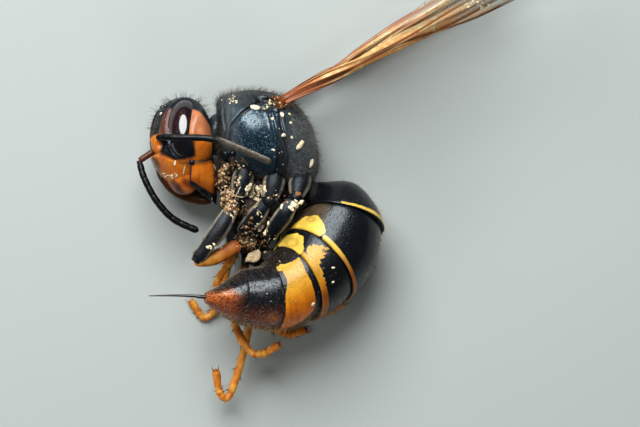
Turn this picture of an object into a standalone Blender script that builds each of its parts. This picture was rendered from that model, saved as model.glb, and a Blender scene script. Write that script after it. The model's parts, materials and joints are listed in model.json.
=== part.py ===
# Yellow-legged Asian hornet, worker, life size, lying on its right side with the abdomen curled under.
# Lengths are in millimetres until solid_object() turns them into metres.
# X runs from the face to the waist, Y from the belly to the back of the thorax, Z from the floor up.
import math

import bmesh
import bpy
import numpy as np
from mathutils import Vector
from mathutils.bvhtree import BVHTree

# Driving dimensions
MM = 0.001
GAP = 0.3
LEAST_THICKNESS = 0.5
FLAT_DEPTH = 0.06

THORAX_HALF_WIDTH = 2.35
MID_Z = THORAX_HALF_WIDTH - FLAT_DEPTH
HEAD_HALF_WIDTH = 2.3
HEAD_HALF_HEIGHT = 2.2
HEAD_HALF_DEPTH = 1.49
HEAD_BACK_DEPTH = 1.27
HEAD_NAPE = -1.0
HEAD_YAW = math.radians(20)
HEAD_PITCH = math.radians(8)
HEAD_CENTRE = Vector((-4.2, 2.82, MID_Z - 0.09))
FORE_WING_LENGTH = 17.5
HIND_WING_LENGTH = 12.0
STING_LENGTH = 2.5

# Colours of the living animal, linear
BLACK_BROWN = (0.012, 0.010, 0.012)
FACE_ORANGE = (0.55, 0.14, 0.02)
EYE_BROWN = (0.05, 0.012, 0.012)
TARSUS_YELLOW = (0.65, 0.28, 0.05)
WING_AMBER = (0.45, 0.18, 0.05)
BAND_ORANGE = (0.62, 0.27, 0.02)
STING_DARK = (0.02, 0.008, 0.006)


def material(name, colour, roughness):
    """One plain finish, shared by the pieces that name it."""
    found = bpy.data.materials.get(name)
    if found:
        return found
    made = bpy.data.materials.new(name)
    made.use_nodes = True
    shader = made.node_tree.nodes["Principled BSDF"]
    shader.inputs["Base Color"].default_value = (*colour, 1)
    shader.inputs["Roughness"].default_value = roughness
    shader.inputs["Metallic"].default_value = 0
    return made


def smooth_through(points, t):
    """The point at t, from 0 to 1, on a smooth curve through the points, spaced evenly in t."""
    points = np.asarray(points, float)
    last = len(points) - 1
    place = min(max(t, 0.0), 1.0) * last
    i = min(int(place), last - 1)
    u = place - i
    before = points[i - 1] if i else 2 * points[0] - points[1]
    after = points[i + 2] if i + 2 <= last else 2 * points[last] - points[last - 1]
    a, b = points[i], points[i + 1]
    return 0.5 * (
        2 * a
        + (b - before) * u
        + (2 * before - 5 * a + 4 * b - after) * u * u
        + (3 * a - before - 3 * b + after) * u**3
    )


def loft_mesh(rings):
    """A closed bmesh whose skin runs from ring to ring, with a flat cap on each end."""
    bm = bmesh.new()
    rows = [[bm.verts.new(p) for p in ring] for ring in rings]
    count = len(rows[0])
    for low, high in zip(rows, rows[1:]):
        for i in range(count):
            j = (i + 1) % count
            bm.faces.new((low[i], low[j], high[j], high[i]))
    bm.faces.new(rows[0][::-1])
    bm.faces.new(rows[-1])
    return finished(bm)


def finished(bm):
    """The bmesh in triangles, facing out."""
    bmesh.ops.triangulate(bm, faces=bm.faces)
    bmesh.ops.recalc_face_normals(bm, faces=bm.faces)
    if bm.calc_volume(signed=True) < 0:
        bmesh.ops.reverse_faces(bm, faces=bm.faces)
    return bm


def trim_at_floor(bm, height=0.0):
    """Cuts off what lies under the floor and closes the cut with one flat."""
    if min(v.co.z for v in bm.verts) >= height:
        return bm
    cut = bmesh.ops.bisect_plane(
        bm,
        geom=bm.verts[:] + bm.edges[:] + bm.faces[:],
        dist=1e-6,
        plane_co=(0, 0, height),
        plane_no=(0, 0, -1),
        clear_outer=True,
    )
    rim = [e for e in cut["geom_cut"] if isinstance(e, bmesh.types.BMEdge)]
    bmesh.ops.contextual_create(bm, geom=rim)
    return finished(bm)


def solid_object(name, bm, finish):
    """The bmesh, scaled to metres, as one named object that is shaded smooth but for its sharp edges."""
    bmesh.ops.scale(bm, vec=(MM, MM, MM), verts=bm.verts)
    mesh = bpy.data.meshes.new(name)
    bm.to_mesh(mesh)
    bm.free()
    mesh.shade_smooth()
    mesh.set_sharp_from_angle(angle=math.radians(40))
    mesh.materials.append(finish)
    made = bpy.data.objects.new(name, mesh)
    bpy.context.scene.collection.objects.link(made)
    return made


def carved_mesh(body, cutter):
    """The body less the cutter, as one closed bmesh."""
    parts = []
    for name, bm in (("body", body), ("cutter", cutter)):
        mesh = bpy.data.meshes.new(name)
        bm.to_mesh(mesh)
        bm.free()
        part = bpy.data.objects.new(name, mesh)
        bpy.context.scene.collection.objects.link(part)
        parts.append(part)
    boolean = parts[0].modifiers.new("carve", "BOOLEAN")
    boolean.operation = "DIFFERENCE"
    boolean.object = parts[1]
    graph = bpy.context.evaluated_depsgraph_get()
    bm = bmesh.new()
    bm.from_mesh(parts[0].evaluated_get(graph).to_mesh())
    for part in parts:
        bpy.data.objects.remove(part)
    bmesh.ops.triangulate(bm, faces=bm.faces)
    return largest_surface(bm)


def largest_surface(bm):
    """Drops all but the connected surface with the most volume."""
    bmesh.ops.remove_doubles(bm, verts=bm.verts, dist=1e-5)
    bmesh.ops.dissolve_degenerate(bm, edges=bm.edges, dist=1e-5)
    bm.faces.ensure_lookup_table()
    waiting, groups = set(bm.faces), []
    while waiting:
        stack, group = [waiting.pop()], []
        while stack:
            face = stack.pop()
            group.append(face)
            for edge in face.edges:
                for other in edge.link_faces:
                    if other in waiting:
                        waiting.remove(other)
                        stack.append(other)
        groups.append(group)

    def volume(group):
        return abs(sum(f.verts[0].co.dot(f.verts[1].co.cross(f.verts[2].co)) for f in group))

    groups.sort(key=volume)
    for group in groups[:-1]:
        bmesh.ops.delete(bm, geom=group, context="FACES")
    loose = [v for v in bm.verts if not v.link_faces]
    bmesh.ops.delete(bm, geom=loose, context="VERTS")
    bmesh.ops.triangulate(bm, faces=bm.faces)
    return bm


# Trunk of the body: a smooth run of oval sections
def oval_ring(centre, back, side, squareness, count):
    """Points round an oval. Back reaches from its centre to the animal's back, side to its left flank."""
    points = []
    for i in range(count):
        angle = 2 * math.pi * i / count
        c, s = math.cos(angle), math.sin(angle)
        c = math.copysign(abs(c) ** (2 / squareness), c)
        s = math.copysign(abs(s) ** (2 / squareness), s)
        points.append(Vector(centre) + c * Vector(back) + s * Vector(side))
    return points


def trunk_rings(stations, start, end, steps, count, shape=None):
    """Rings from start to end along stations of (centre, back, side, squareness) in one flat row each."""
    rings = []
    for k in range(steps + 1):
        t = start + (end - start) * k / steps
        row = smooth_through(stations, t)
        ring = oval_ring(row[0:3], row[3:6], row[6:9], row[9], count)
        if shape:
            centre = Vector(row[0:3])
            ring = [shape(p, centre, k / steps, 2 * math.pi * i / count) for i, p in enumerate(ring)]
        rings.append(ring)
    return rings


def parted(rings, front=True, back=True):
    """The rings with their ends drawn in by half a gap, so that neighbours face each other squarely."""
    for part, ends in ((front, (rings[0], rings[1])), (back, (rings[-1], rings[-2]))):
        if not part:
            continue
        rim = ends[0]
        quarter = len(rim) // 4
        middle = sum(rim, Vector()) / len(rim)
        inward = (rim[0] - middle).cross(rim[quarter] - middle).normalized()
        if inward.dot(sum(ends[1], Vector()) / len(rim) - middle) < 0:
            inward = -inward
        for ring, share in zip(ends, (0.5, 0.25)):
            for point in ring:
                point += inward * (GAP * share)
    return rings


def thorax_station(top, bottom, half_width, squareness=2.2):
    """A section of the thorax from its outline's top and bottom points, in X and Y."""
    top, bottom = Vector((*top, MID_Z)), Vector((*bottom, MID_Z))
    half = (top - bottom) / 2
    return [*((top + bottom) / 2), *half, 0, 0, half_width, squareness]


THORAX = [
    thorax_station((-2.62, 4.65), (-2.55, 2.75), 1.15),
    thorax_station((-2.25, 5.12), (-2.25, 1.85), 1.80),
    thorax_station((-1.15, 5.38), (-1.55, 1.25), 2.18),
    thorax_station((0.15, 5.24), (-0.65, 0.85), THORAX_HALF_WIDTH),
    thorax_station((1.20, 4.70), (0.30, 0.70), 2.30),
    thorax_station((1.95, 3.65), (1.00, 0.65), 2.00),
    thorax_station((2.30, 2.40), (1.55, 0.60), 1.40),
    thorax_station((2.32, 1.45), (1.85, 0.58), 0.55),
]


def gaster_station(centre, rise, heading, tilt, half_height, half_width, squareness=2.1):
    """A section of the abdomen. Heading is the way it runs in X and Y, tilt how far it climbs from the floor."""
    along = Vector((math.cos(heading), math.sin(heading), 0))
    back = Vector((-along.y, along.x, 0))
    side = Vector((-along.x * math.sin(tilt), -along.y * math.sin(tilt), math.cos(tilt)))
    return [
        *(centre[0], centre[1], MID_Z + rise),
        *(back * half_height),
        *(side * half_width),
        squareness,
    ]


def degrees_station(centre, rise, heading, tilt, half_height, half_width):
    return gaster_station(
        centre, rise, math.radians(heading), math.radians(tilt), half_height, half_width
    )


# The abdomen curls from the waist round to the sting, and climbs towards the left flank.
GASTER = [
    degrees_station((2.20, 0.58), 0.00, -25, 4, 0.35, 0.40),
    degrees_station((3.03, 0.19), 0.00, -66, 8, 1.33, 1.56),
    degrees_station((3.58, -0.88), -0.03, -102, 18, 1.96, 2.32),
    degrees_station((3.10, -2.10), 0.06, -121, 25, 2.30, 2.62),
    degrees_station((2.24, -3.18), 0.42, -137, 27, 2.26, 2.58),
    degrees_station((1.28, -4.04), 0.86, -152, 26, 1.98, 2.26),
    degrees_station((-0.07, -4.67), 1.30, -171, 23, 1.60, 1.77),
    degrees_station((-1.35, -4.70), 1.70, -181, 21, 1.29, 1.33),
    degrees_station((-2.45, -4.70), 2.08, -182, 20, 0.58, 0.66),
    degrees_station((-3.10, -4.70), 2.30, -182, 20, 0.26, 0.28),
]
SEGMENT_ENDS = [0.0, 0.235, 0.445, 0.555, 0.66, 0.785, 1.0]


def build_thorax():
    dark = material("black_cuticle", BLACK_BROWN, 0.45)
    pronotum_end, scutum_end = 0.235, 0.66

    def pleuron(point, centre, along, angle):
        """Swells the side plate under the wing and sinks the seam over it."""
        low_side = math.exp(-(((abs(math.sin(angle)) - 0.95) / 0.35) ** 2))
        swell = 0.10 * low_side * math.sin(math.pi * min(1.0, along * 1.35))
        seam = 0.10 * math.exp(-(((math.cos(angle) - 0.52) / 0.07) ** 2))
        out = (point - centre).normalized()
        point = point + out * (swell - seam)
        point.z = min(point.z, MID_Z + THORAX_HALF_WIDTH)
        return point

    parts = (
        ("pronotum", 0.0, pronotum_end, 4, None),
        ("mesothorax", pronotum_end, scutum_end, 9, pleuron),
        ("propodeum", scutum_end, 1.0, 7, None),
    )
    for name, start, end, steps, shape in parts:
        rings = trunk_rings(THORAX, start, end, steps, 28, shape)
        bm = loft_mesh(parted(rings, front=start > 0, back=end < 1))
        solid_object(name, trim_at_floor(bm), dark)


def thorax_room():
    """The room that the thorax takes, grown by the gap."""

    def grown(point, centre, along, angle):
        return point + (point - centre).normalized() * GAP

    return loft_mesh(trunk_rings(THORAX, 0.0, 1.0, 16, 30, grown))


def build_gaster():
    dark = material("black_cuticle", BLACK_BROWN, 0.45)
    banded = material("banded_cuticle", BAND_ORANGE, 0.4)
    for i, (start, end) in enumerate(zip(SEGMENT_ENDS, SEGMENT_ENDS[1:])):
        # Each plate is a little proud of the next at its hind rim and tucked in at its front.
        def rim(point, centre, along, angle, first=(i == 0)):
            tuck = 0.0 if first else 0.10 * math.exp(-along / 0.10)
            lip = 0.07 * math.exp(-(((along - 0.93) / 0.06) ** 2))
            return point + (point - centre).normalized() * (lip - tuck)

        steps = 6 if i in (0, 1, 5) else 4
        rings = trunk_rings(GASTER, start, end, steps, 26, rim)
        bm = loft_mesh(parted(rings, back=end < 1))
        solid_object(f"gaster_{i + 1}", trim_at_floor(bm), banded if i == 3 else dark)


def tube_rings(points, radii, sides, flatten=1.0, flat_axis=(0, 0, 1)):
    """Round rings of given radii at the points of a bent rod, square to its run."""
    points = [Vector(p) for p in points]
    rings = []
    for i, p in enumerate(points):
        ahead = points[min(i + 1, len(points) - 1)]
        behind = points[max(i - 1, 0)]
        along = (ahead - behind).normalized()
        across = along.cross(Vector(flat_axis))
        if across.length < 0.2:
            across = along.cross(Vector((1, 0, 0)))
        across.normalize()
        up = across.cross(along).normalized()
        ring = []
        for k in range(sides):
            angle = 2 * math.pi * k / sides
            offset = across * math.cos(angle) + up * math.sin(angle) * flatten
            ring.append(p + offset * radii[i])
        rings.append(ring)
    return rings


def bent_run(points, steps):
    return [Vector(smooth_through([list(p) for p in points], k / steps)) for k in range(steps + 1)]


def trimmed(points, front, back):
    """The run of points with this much length taken off its two ends."""
    points = [Vector(p) for p in points]
    for cut, reverse in ((front, False), (back, True)):
        if reverse:
            points.reverse()
        left = cut
        while left > 0 and (points[1] - points[0]).length <= left:
            left -= (points[1] - points[0]).length
            points.pop(0)
        if left > 0:
            points[0] = points[0] + (points[1] - points[0]).normalized() * left
        if reverse:
            points.reverse()
    return points


# Head
def head_axes():
    """The head's own left, top and front directions."""
    yaw_c, yaw_s = math.cos(HEAD_YAW), math.sin(HEAD_YAW)
    c, s = math.cos(HEAD_PITCH), math.sin(HEAD_PITCH)
    top = Vector((-s, c, 0))
    front_flat = Vector((-c, -s, 0))
    front = front_flat * yaw_c + Vector((0, 0, yaw_s))
    left = Vector((0, 0, yaw_c)) - front_flat * yaw_s
    return left, top, front


HEAD_LEFT, HEAD_TOP, HEAD_FRONT = head_axes()


def head_point(left, top, front):
    return HEAD_CENTRE + HEAD_LEFT * left + HEAD_TOP * top + HEAD_FRONT * front


def soft_step(value, low, high):
    t = min(max((value - low) / (high - low), 0.0), 1.0)
    return t * t * (3 - 2 * t)


def bump(a, b, centre_a, centre_b, size_a, size_b):
    return math.exp(-(((a - centre_a) / size_a) ** 2 + ((b - centre_b) / size_b) ** 2))


def head_surface(direction):
    """The point of the head's shell, in its own axes, in this direction from its centre."""
    a, b, c = direction
    depth = HEAD_HALF_DEPTH if c > 0 else HEAD_BACK_DEPTH
    height = HEAD_HALF_HEIGHT
    width = HEAD_HALF_WIDTH * (1.0 - 0.16 * soft_step(-b, 0.1, 1.0))
    left, top, front = a * width, b * height, c * depth
    # Face plate, brow between the feelers, their sockets, and the hollow of the nape
    if c > 0:
        plate = soft_step(1.25 - abs(left), 0.0, 0.28)
        plate *= soft_step(-0.42 - top, 0.0, 0.25)
        front += 0.26 * plate
        front += 0.20 * bump(left, top, 0.0, 0.25, 0.42, 0.75)
        front -= 0.22 * bump(abs(left), top, 0.62, 0.02, 0.26, 0.26)
        front += 0.10 * bump(left, top, 0.0, 1.75, 0.45, 0.30)
    else:
        front = max(front, HEAD_NAPE)
    return left, top, front


def sphere_mesh(to_point, rows, columns):
    """A closed ball of rows and columns, whose points to_point() places from a direction."""
    bm = bmesh.new()
    poles = [bm.verts.new(to_point((0, 1, 0))), bm.verts.new(to_point((0, -1, 0)))]
    grid = []
    for r in range(1, rows):
        polar = math.pi * r / rows
        grid.append(
            [
                bm.verts.new(
                    to_point(
                        (
                            math.sin(polar) * math.cos(2 * math.pi * k / columns),
                            math.cos(polar),
                            math.sin(polar) * math.sin(2 * math.pi * k / columns),
                        )
                    )
                )
                for k in range(columns)
            ]
        )
    for k in range(columns):
        j = (k + 1) % columns
        bm.faces.new((poles[0], grid[0][j], grid[0][k]))
        bm.faces.new((poles[1], grid[-1][k], grid[-1][j]))
        for low, high in zip(grid, grid[1:]):
            bm.faces.new((low[k], low[j], high[j], high[k]))
    return finished(bm)


# A compound eye, in the head's axes: its centre, its reach outward, up and along, where it faces,
# and how far its lower end stands out
EYE_CENTRE = (1.28, 0.60, 0.325)
EYE_REACH = (0.90, 1.42, 0.855)
EYE_FACING = math.radians(43)
EYE_SLOPE = 0.25
EYE_NOTCH = 0.42


def eye_surface(direction, side, grow):
    out, up, along = (d * (r + grow) for d, r in zip(direction, EYE_REACH))
    out -= EYE_SLOPE * up
    along *= 1 - EYE_NOTCH * bump(direction[1], direction[2], -0.15, 0.95, 0.24, 0.42)
    face_c, face_s = math.cos(EYE_FACING), math.sin(EYE_FACING)
    return (
        side * (EYE_CENTRE[0] + out * face_c - along * face_s),
        EYE_CENTRE[1] + up,
        EYE_CENTRE[2] + out * face_s + along * face_c,
    )


def head_room():
    """The room that the head takes, grown by the gap."""

    def grown(direction):
        return head_point(*(Vector(head_surface(direction)) + Vector(direction) * GAP))

    return sphere_mesh(grown, 16, 24)


def build_head():
    face = material("face_cuticle", FACE_ORANGE, 0.35)
    eye_finish = material("eye", EYE_BROWN, 0.12)
    shell = sphere_mesh(lambda d: head_point(*head_surface(d)), 18, 26)
    for side in (1, -1):
        socket = sphere_mesh(lambda d, s=side: head_point(*eye_surface(d, s, GAP)), 12, 16)
        shell = carved_mesh(shell, socket)
    solid_object("head", trim_at_floor(shell), face)
    for name, side in (("eye_left", 1), ("eye_right", -1)):
        eye = sphere_mesh(lambda d, s=side: head_point(*eye_surface(d, s, 0.0)), 12, 16)
        solid_object(name, trim_at_floor(eye), eye_finish)


JAW_SLANT = 0.30  # the rear corner of a jaw reaches further than its front one


def build_mandibles():
    """The two jaws, closed below the face plate, broad at the root and bevelled at the tip."""
    face = material("face_cuticle", FACE_ORANGE, 0.35)
    for name, side in (("mandible_left", 1), ("mandible_right", -1)):
        run = [
            head_point(side * 1.70, -1.02, -0.18),
            head_point(side * 1.61, -1.55, -0.20),
            head_point(side * 1.40, -2.10, -0.20),
            head_point(side * 1.16, -2.54, -0.20),
        ]
        rings = []
        halves = ((0.58, 0.34), (0.66, 0.34), (0.70, 0.30), (0.66, 0.26))
        for i, (p, (wide, thick)) in enumerate(zip(run, halves)):
            ahead = run[min(i + 1, 3)] - run[max(i - 1, 0)]
            along = ahead.normalized()
            slope = along * (JAW_SLANT * i / 3)
            wide_way = (HEAD_FRONT - along * HEAD_FRONT.dot(along)).normalized()
            thick_way = along.cross(wide_way)
            rings.append(oval_ring(p, wide_way * wide - slope, thick_way * thick, 2.6, 14))
        solid_object(name, carved_mesh(loft_mesh(rings), head_room()), face)


def antenna_nodes():
    dark = material("black_cuticle", BLACK_BROWN, 0.45)
    brown = material("feeler_root", (0.20, 0.07, 0.03), 0.45)
    left_root = head_point(0.62, 0.02, 1.32)
    right_root = head_point(-0.62, 0.02, 1.32)
    scapes = {
        "scape_left": [left_root, left_root + Vector((-0.18, 0.12, 0.9)), Vector((-5.45, 3.02, MID_Z + 2.75))],
        "scape_right": [right_root, Vector((-6.05, 2.35, MID_Z - 0.05)), Vector((-6.42, 2.02, MID_Z + 0.05))],
    }
    flagella = {
        "flagellum_left": [
            Vector((-5.45, 3.02, MID_Z + 2.75)),
            Vector((-4.40, 2.96, MID_Z + 3.25)),
            Vector((-2.90, 2.82, MID_Z + 3.42)),
            Vector((-1.40, 2.45, MID_Z + 3.30)),
            Vector((0.05, 1.88, MID_Z + 3.05)),
        ],
        "flagellum_right": [
            Vector((-6.42, 2.02, MID_Z + 0.05)),
            Vector((-6.20, 1.05, MID_Z + 0.25)),
            Vector((-5.60, -0.05, MID_Z + 0.30)),
            Vector((-4.72, -1.02, MID_Z + 0.20)),
            Vector((-3.45, -1.52, MID_Z + 0.05)),
        ],
    }
    for name, points in scapes.items():
        run = trimmed(bent_run(points, 8), 0, GAP / 2)
        radii = [0.25 + 0.05 * math.sin(math.pi * k / (len(run) - 1)) for k in range(len(run))]
        bm = carved_mesh(loft_mesh(tube_rings(run, radii, 8)), head_room())
        solid_object(name, bm, brown)
    segments = 11
    for name, points in flagella.items():
        run = trimmed(bent_run(points, segments * 2), GAP * 1.3, 0)
        radii = []
        for k in range(len(run)):
            share = k / (len(run) - 1)
            joint = 0.018 if k % 2 == 0 else 0.0
            tip = 0.13 * soft_step(share, 0.8, 1.0)
            radii.append(0.265 - joint - tip)
        solid_object(name, loft_mesh(tube_rings(run, radii, 8)), dark)


# Legs: the joints of each leg, from the thorax to the claws, in X, Y and height over MID_Z
LEG_JOINTS = {
    "fore_left": {
        "coxa": ((-1.15, 1.60, 1.15), (-1.52, 0.22, 1.45)),
        "femur": ((-1.52, 0.22, 1.45), (-2.35, -1.30, 1.85), (-3.62, -3.00, 1.85)),
        "tibia": ((-3.62, -3.00, 1.85), (-2.70, -2.82, 1.40), (-1.55, -2.20, 0.95)),
        "tarsus": ((-1.55, -2.20, 0.95), (-1.90, -2.95, 0.55), (-2.60, -4.00, 0.20), (-2.45, -4.90, 0.05)),
    },
    "mid_left": {
        "coxa": ((0.35, 1.40, 1.25), (0.00, 0.00, 1.60)),
        "femur": ((0.00, 0.00, 1.60), (-0.65, -0.75, 1.35), (-1.40, -1.60, 0.60)),
        "tibia": ((-1.40, -1.60, 0.60), (-1.25, -3.00, -0.20), (-1.60, -4.95, -0.45)),
        "tarsus": (
            (-1.60, -4.95, -0.45),
            (-1.80, -6.15, -0.20),
            (-1.10, -7.20, 0.10),
            (-0.35, -7.42, 0.20),
            (0.45, -7.00, 0.20),
        ),
    },
    "hind_left": {
        "coxa": ((1.60, 1.40, 1.00), (1.30, 0.15, 1.70)),
        "femur": ((1.30, 0.15, 1.70), (0.65, -0.80, 1.70), (-0.10, -1.85, 0.85)),
        "tibia": ((-0.10, -1.85, 0.85), (-0.60, -3.10, -0.70), (-0.85, -5.25, -1.05)),
        "tarsus": (
            (-0.85, -5.25, -1.05),
            (-1.20, -7.35, -0.95),
            (-1.72, -9.15, -0.85),
            (-2.15, -9.72, -0.80),
            (-2.66, -9.35, -0.75),
            (-2.80, -8.35, -0.60),
        ),
    },
    "fore_right": {
        "coxa": ((-1.15, 1.60, -0.95), (-1.62, 0.22, -1.15)),
        "femur": ((-1.62, 0.22, -1.15), (-1.80, -1.00, -1.25), (-1.95, -2.60, -1.25)),
        "tibia": ((-1.95, -2.60, -1.25), (-2.25, -3.60, -1.45), (-2.45, -4.70, -1.70)),
        "tarsus": ((-2.45, -4.70, -1.70), (-2.75, -5.45, -1.90), (-3.35, -5.82, -2.04), (-3.95, -5.05, -2.06)),
    },
    "mid_right": {
        "coxa": ((0.35, 1.40, -1.05), (-0.20, 0.00, -1.30)),
        "femur": ((-0.20, 0.00, -1.30), (-0.40, -1.20, -1.50), (-0.50, -2.80, -1.70)),
        "tibia": ((-0.50, -2.80, -1.70), (-0.50, -4.00, -1.85), (-0.35, -5.45, -1.98)),
        "tarsus": ((-0.35, -5.45, -1.98), (0.05, -6.25, -2.04), (0.85, -6.65, -2.06), (1.70, -6.45, -2.06)),
    },
    "hind_right": {
        "coxa": ((1.55, 1.40, -0.80), (1.15, 0.15, -1.35)),
        "femur": ((1.15, 0.15, -1.35), (0.85, -1.10, -1.65), (0.45, -2.45, -1.80)),
        "tibia": ((0.45, -2.45, -1.80), (0.45, -3.60, -1.95), (0.95, -4.85, -2.02)),
        "tarsus": ((0.95, -4.85, -2.02), (1.75, -5.45, -2.06), (2.70, -5.55, -2.06), (3.55, -5.10, -2.06)),
    },
}
# Half thickness at the root, middle and tip of each length of leg
LEG_RADII = {
    "coxa": (0.42, 0.46, 0.34),
    "femur": (0.28, 0.40, 0.30),
    "tibia": (0.25, 0.33, 0.27),
    "tarsus": (0.26, 0.26, 0.24),
}
JOINT_WAIST = 0.03
FLOOR_TUBE = 0.24


def leg_tube(length, joints, grow=0.0):
    """One length of a leg as a closed tube, or the room that it takes when grown on all sides."""
    points = [Vector((x, y, MID_Z + z)) for x, y, z in joints]
    steps = 4 * (len(points) - 1) if length == "tarsus" else 7
    run = bent_run(points, steps)
    radii = []
    for k in range(len(run)):
        share = k / steps
        radius = float(smooth_through([[r] for r in LEG_RADII[length]], share)[0])
        if length == "tarsus" and k % 2:
            radius -= JOINT_WAIST
        radii.append(radius)
    for p, r in zip(run, radii):
        p.z = max(p.z, min(r, FLOOR_TUBE))
    if grow:
        radii = [r + grow for r in radii]
        run[0] = run[0] - (run[1] - run[0]).normalized() * grow
        run[-1] = run[-1] + (run[-1] - run[-2]).normalized() * grow
    return loft_mesh(tube_rings(run, radii, 8))


def build_legs():
    """Each length of a leg stops a gap short of the one before it, and each coxa of the thorax."""
    dark = material("black_cuticle", BLACK_BROWN, 0.45)
    pale = material("yellow_tarsus", TARSUS_YELLOW, 0.4)
    for leg, lengths in LEG_JOINTS.items():
        room = thorax_room()
        for length, joints in lengths.items():
            bm = carved_mesh(leg_tube(length, joints), room)
            room = leg_tube(length, joints, GAP)
            finish = pale if length == "tarsus" or (leg, length) == ("fore_left", "tibia") else dark
            solid_object(f"leg_{leg}_{length}", trim_at_floor(bm), finish)


# Wings: each folded lengthwise into a long blade, its flat nearly square to the floor
WINGS = {
    "fore_wing_left": {
        "root": (0.70, 4.85, 2.05),
        "heading": 25.6,
        "rise": 1.9,
        "length": FORE_WING_LENGTH,
        "half_width": 1.05,
        "turn": 68,
    },
    "hind_wing_left": {
        "root": (1.05, 4.90, 0.95),
        "heading": 28.5,
        "rise": 0.65,
        "length": HIND_WING_LENGTH,
        "half_width": 0.55,
        "turn": 76,
    },
    "hind_wing_right": {
        "root": (1.05, 5.00, -0.55),
        "heading": 34.0,
        "rise": 0.95,
        "length": HIND_WING_LENGTH,
        "half_width": 0.50,
        "turn": 104,
    },
    "fore_wing_right": {
        "root": (0.65, 5.00, -1.65),
        "heading": 31.0,
        "rise": 0.55,
        "length": FORE_WING_LENGTH,
        "half_width": 0.90,
        "turn": 112,
    },
}
WING_VEINS = (-0.80, -0.25, 0.50)


def wing_width(share):
    """The blade's half width along its length, from a narrow root to a rounded tip."""
    grow = soft_step(share, 0.0, 0.55)
    tip = math.sqrt(max(0.0, 1 - (max(share - 0.84, 0.0) / 0.16) ** 2))
    return (0.24 + 0.76 * grow) * max(tip, 0.22)


def wing_rings(wing):
    """Sections of a folded wing: a thin plate with its main veins raised in both faces."""
    heading = math.radians(wing["heading"])
    turn = math.radians(wing["turn"])
    along = Vector((math.cos(heading), math.sin(heading), 0))
    flat_across = Vector((-math.sin(heading), math.cos(heading), 0))
    up = Vector((0, 0, 1))
    root = Vector((wing["root"][0], wing["root"][1], MID_Z + wing["root"][2]))
    rings = []
    steps = 12
    columns = 13
    for k in range(steps + 1):
        share = 1 - (1 - k / steps) ** 1.5
        settle = soft_step(share, 0.0, 0.25)
        across = flat_across * math.cos(turn * settle) + up * math.sin(turn * settle)
        face = along.cross(across)
        centre = root + along * (wing["length"] * share) + up * (wing["rise"] * share)
        half = wing["half_width"] * wing_width(share)
        thick = LEAST_THICKNESS / 2
        front, back = [], []
        for i in range(columns):
            u = -1 + 2 * i / (columns - 1)
            ridge = max(math.exp(-(((u - v) / 0.09) ** 2)) for v in WING_VEINS)
            ridge *= 0.12 * soft_step(share, 0.02, 0.15) * (1 - soft_step(share, 0.80, 0.97))
            edge = 0.55 + 0.45 * math.sqrt(max(0.0, 1 - u**6))
            place = centre + across * (half * u)
            front.append(place + face * (thick * edge + ridge))
            back.append(place - face * (thick * edge + ridge))
        rings.append(front + back[::-1])
    return rings


def build_wings():
    amber = material("wing_membrane", WING_AMBER, 0.25)
    for name, wing in WINGS.items():
        bm = carved_mesh(loft_mesh(wing_rings(wing)), thorax_room())
        solid_object(name, trim_at_floor(bm), amber)


def build_sting():
    dark = material("sting", STING_DARK, 0.2)
    tip_share = smooth_through(GASTER, 1.0)
    start = Vector(tip_share[0:3])
    before = Vector(smooth_through(GASTER, 0.97)[0:3])
    along = (start - before).normalized()
    run = []
    radii = []
    steps = 8
    for k in range(steps + 1):
        share = k / steps
        droop = Vector((0, 0.16 * share**2, -0.55 * share))
        run.append(start + along * (GAP + STING_LENGTH * share) + droop)
        radii.append(0.25 * (1 - share) ** 0.7 + 0.03)
    solid_object("sting", loft_mesh(tube_rings(run, radii, 8)), dark)


def centre_on_origin():
    """Moves the whole body so that the middle of its outline on the floor is the origin."""
    meshes = [o.data for o in bpy.context.scene.objects if o.type == "MESH"]
    corners = np.array([v.co[:] for mesh in meshes for v in mesh.vertices])
    low, high = corners.min(axis=0), corners.max(axis=0)
    shift = Vector((-(low[0] + high[0]) / 2, -(low[1] + high[1]) / 2, -low[2]))
    print("moved by", [round(c / MM, 4) for c in shift], "mm")
    for mesh in meshes:
        for vertex in mesh.vertices:
            vertex.co += shift
        mesh.update()


def report_overlaps():
    """Prints each pair of pieces whose surfaces cross."""
    made = [o for o in bpy.context.scene.objects if o.type == "MESH"]
    trees = {}
    for o in made:
        bm = bmesh.new()
        bm.from_mesh(o.data)
        trees[o.name] = BVHTree.FromBMesh(bm)
        bm.free()
    names = sorted(trees)
    for i, a in enumerate(names):
        for b in names[i + 1 :]:
            hits = len(trees[a].overlap(trees[b]))
            if hits:
                print("these cross:", a, b, hits)


def main():
    for old in list(bpy.data.objects):
        bpy.data.objects.remove(old)
    build_head()
    build_mandibles()
    antenna_nodes()
    build_thorax()
    build_gaster()
    build_sting()
    build_legs()
    build_wings()
    centre_on_origin()
    report_overlaps()


main()
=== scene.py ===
# A yellow-legged hornet worker lying on its right side: skins, plates, legs, wings, hair, floor and light.
# Shapes are worked out in millimetres and put in the frame in metres.
import json
import math

import bpy
import numpy as np
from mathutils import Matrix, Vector
from mathutils.bvhtree import BVHTree

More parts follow.
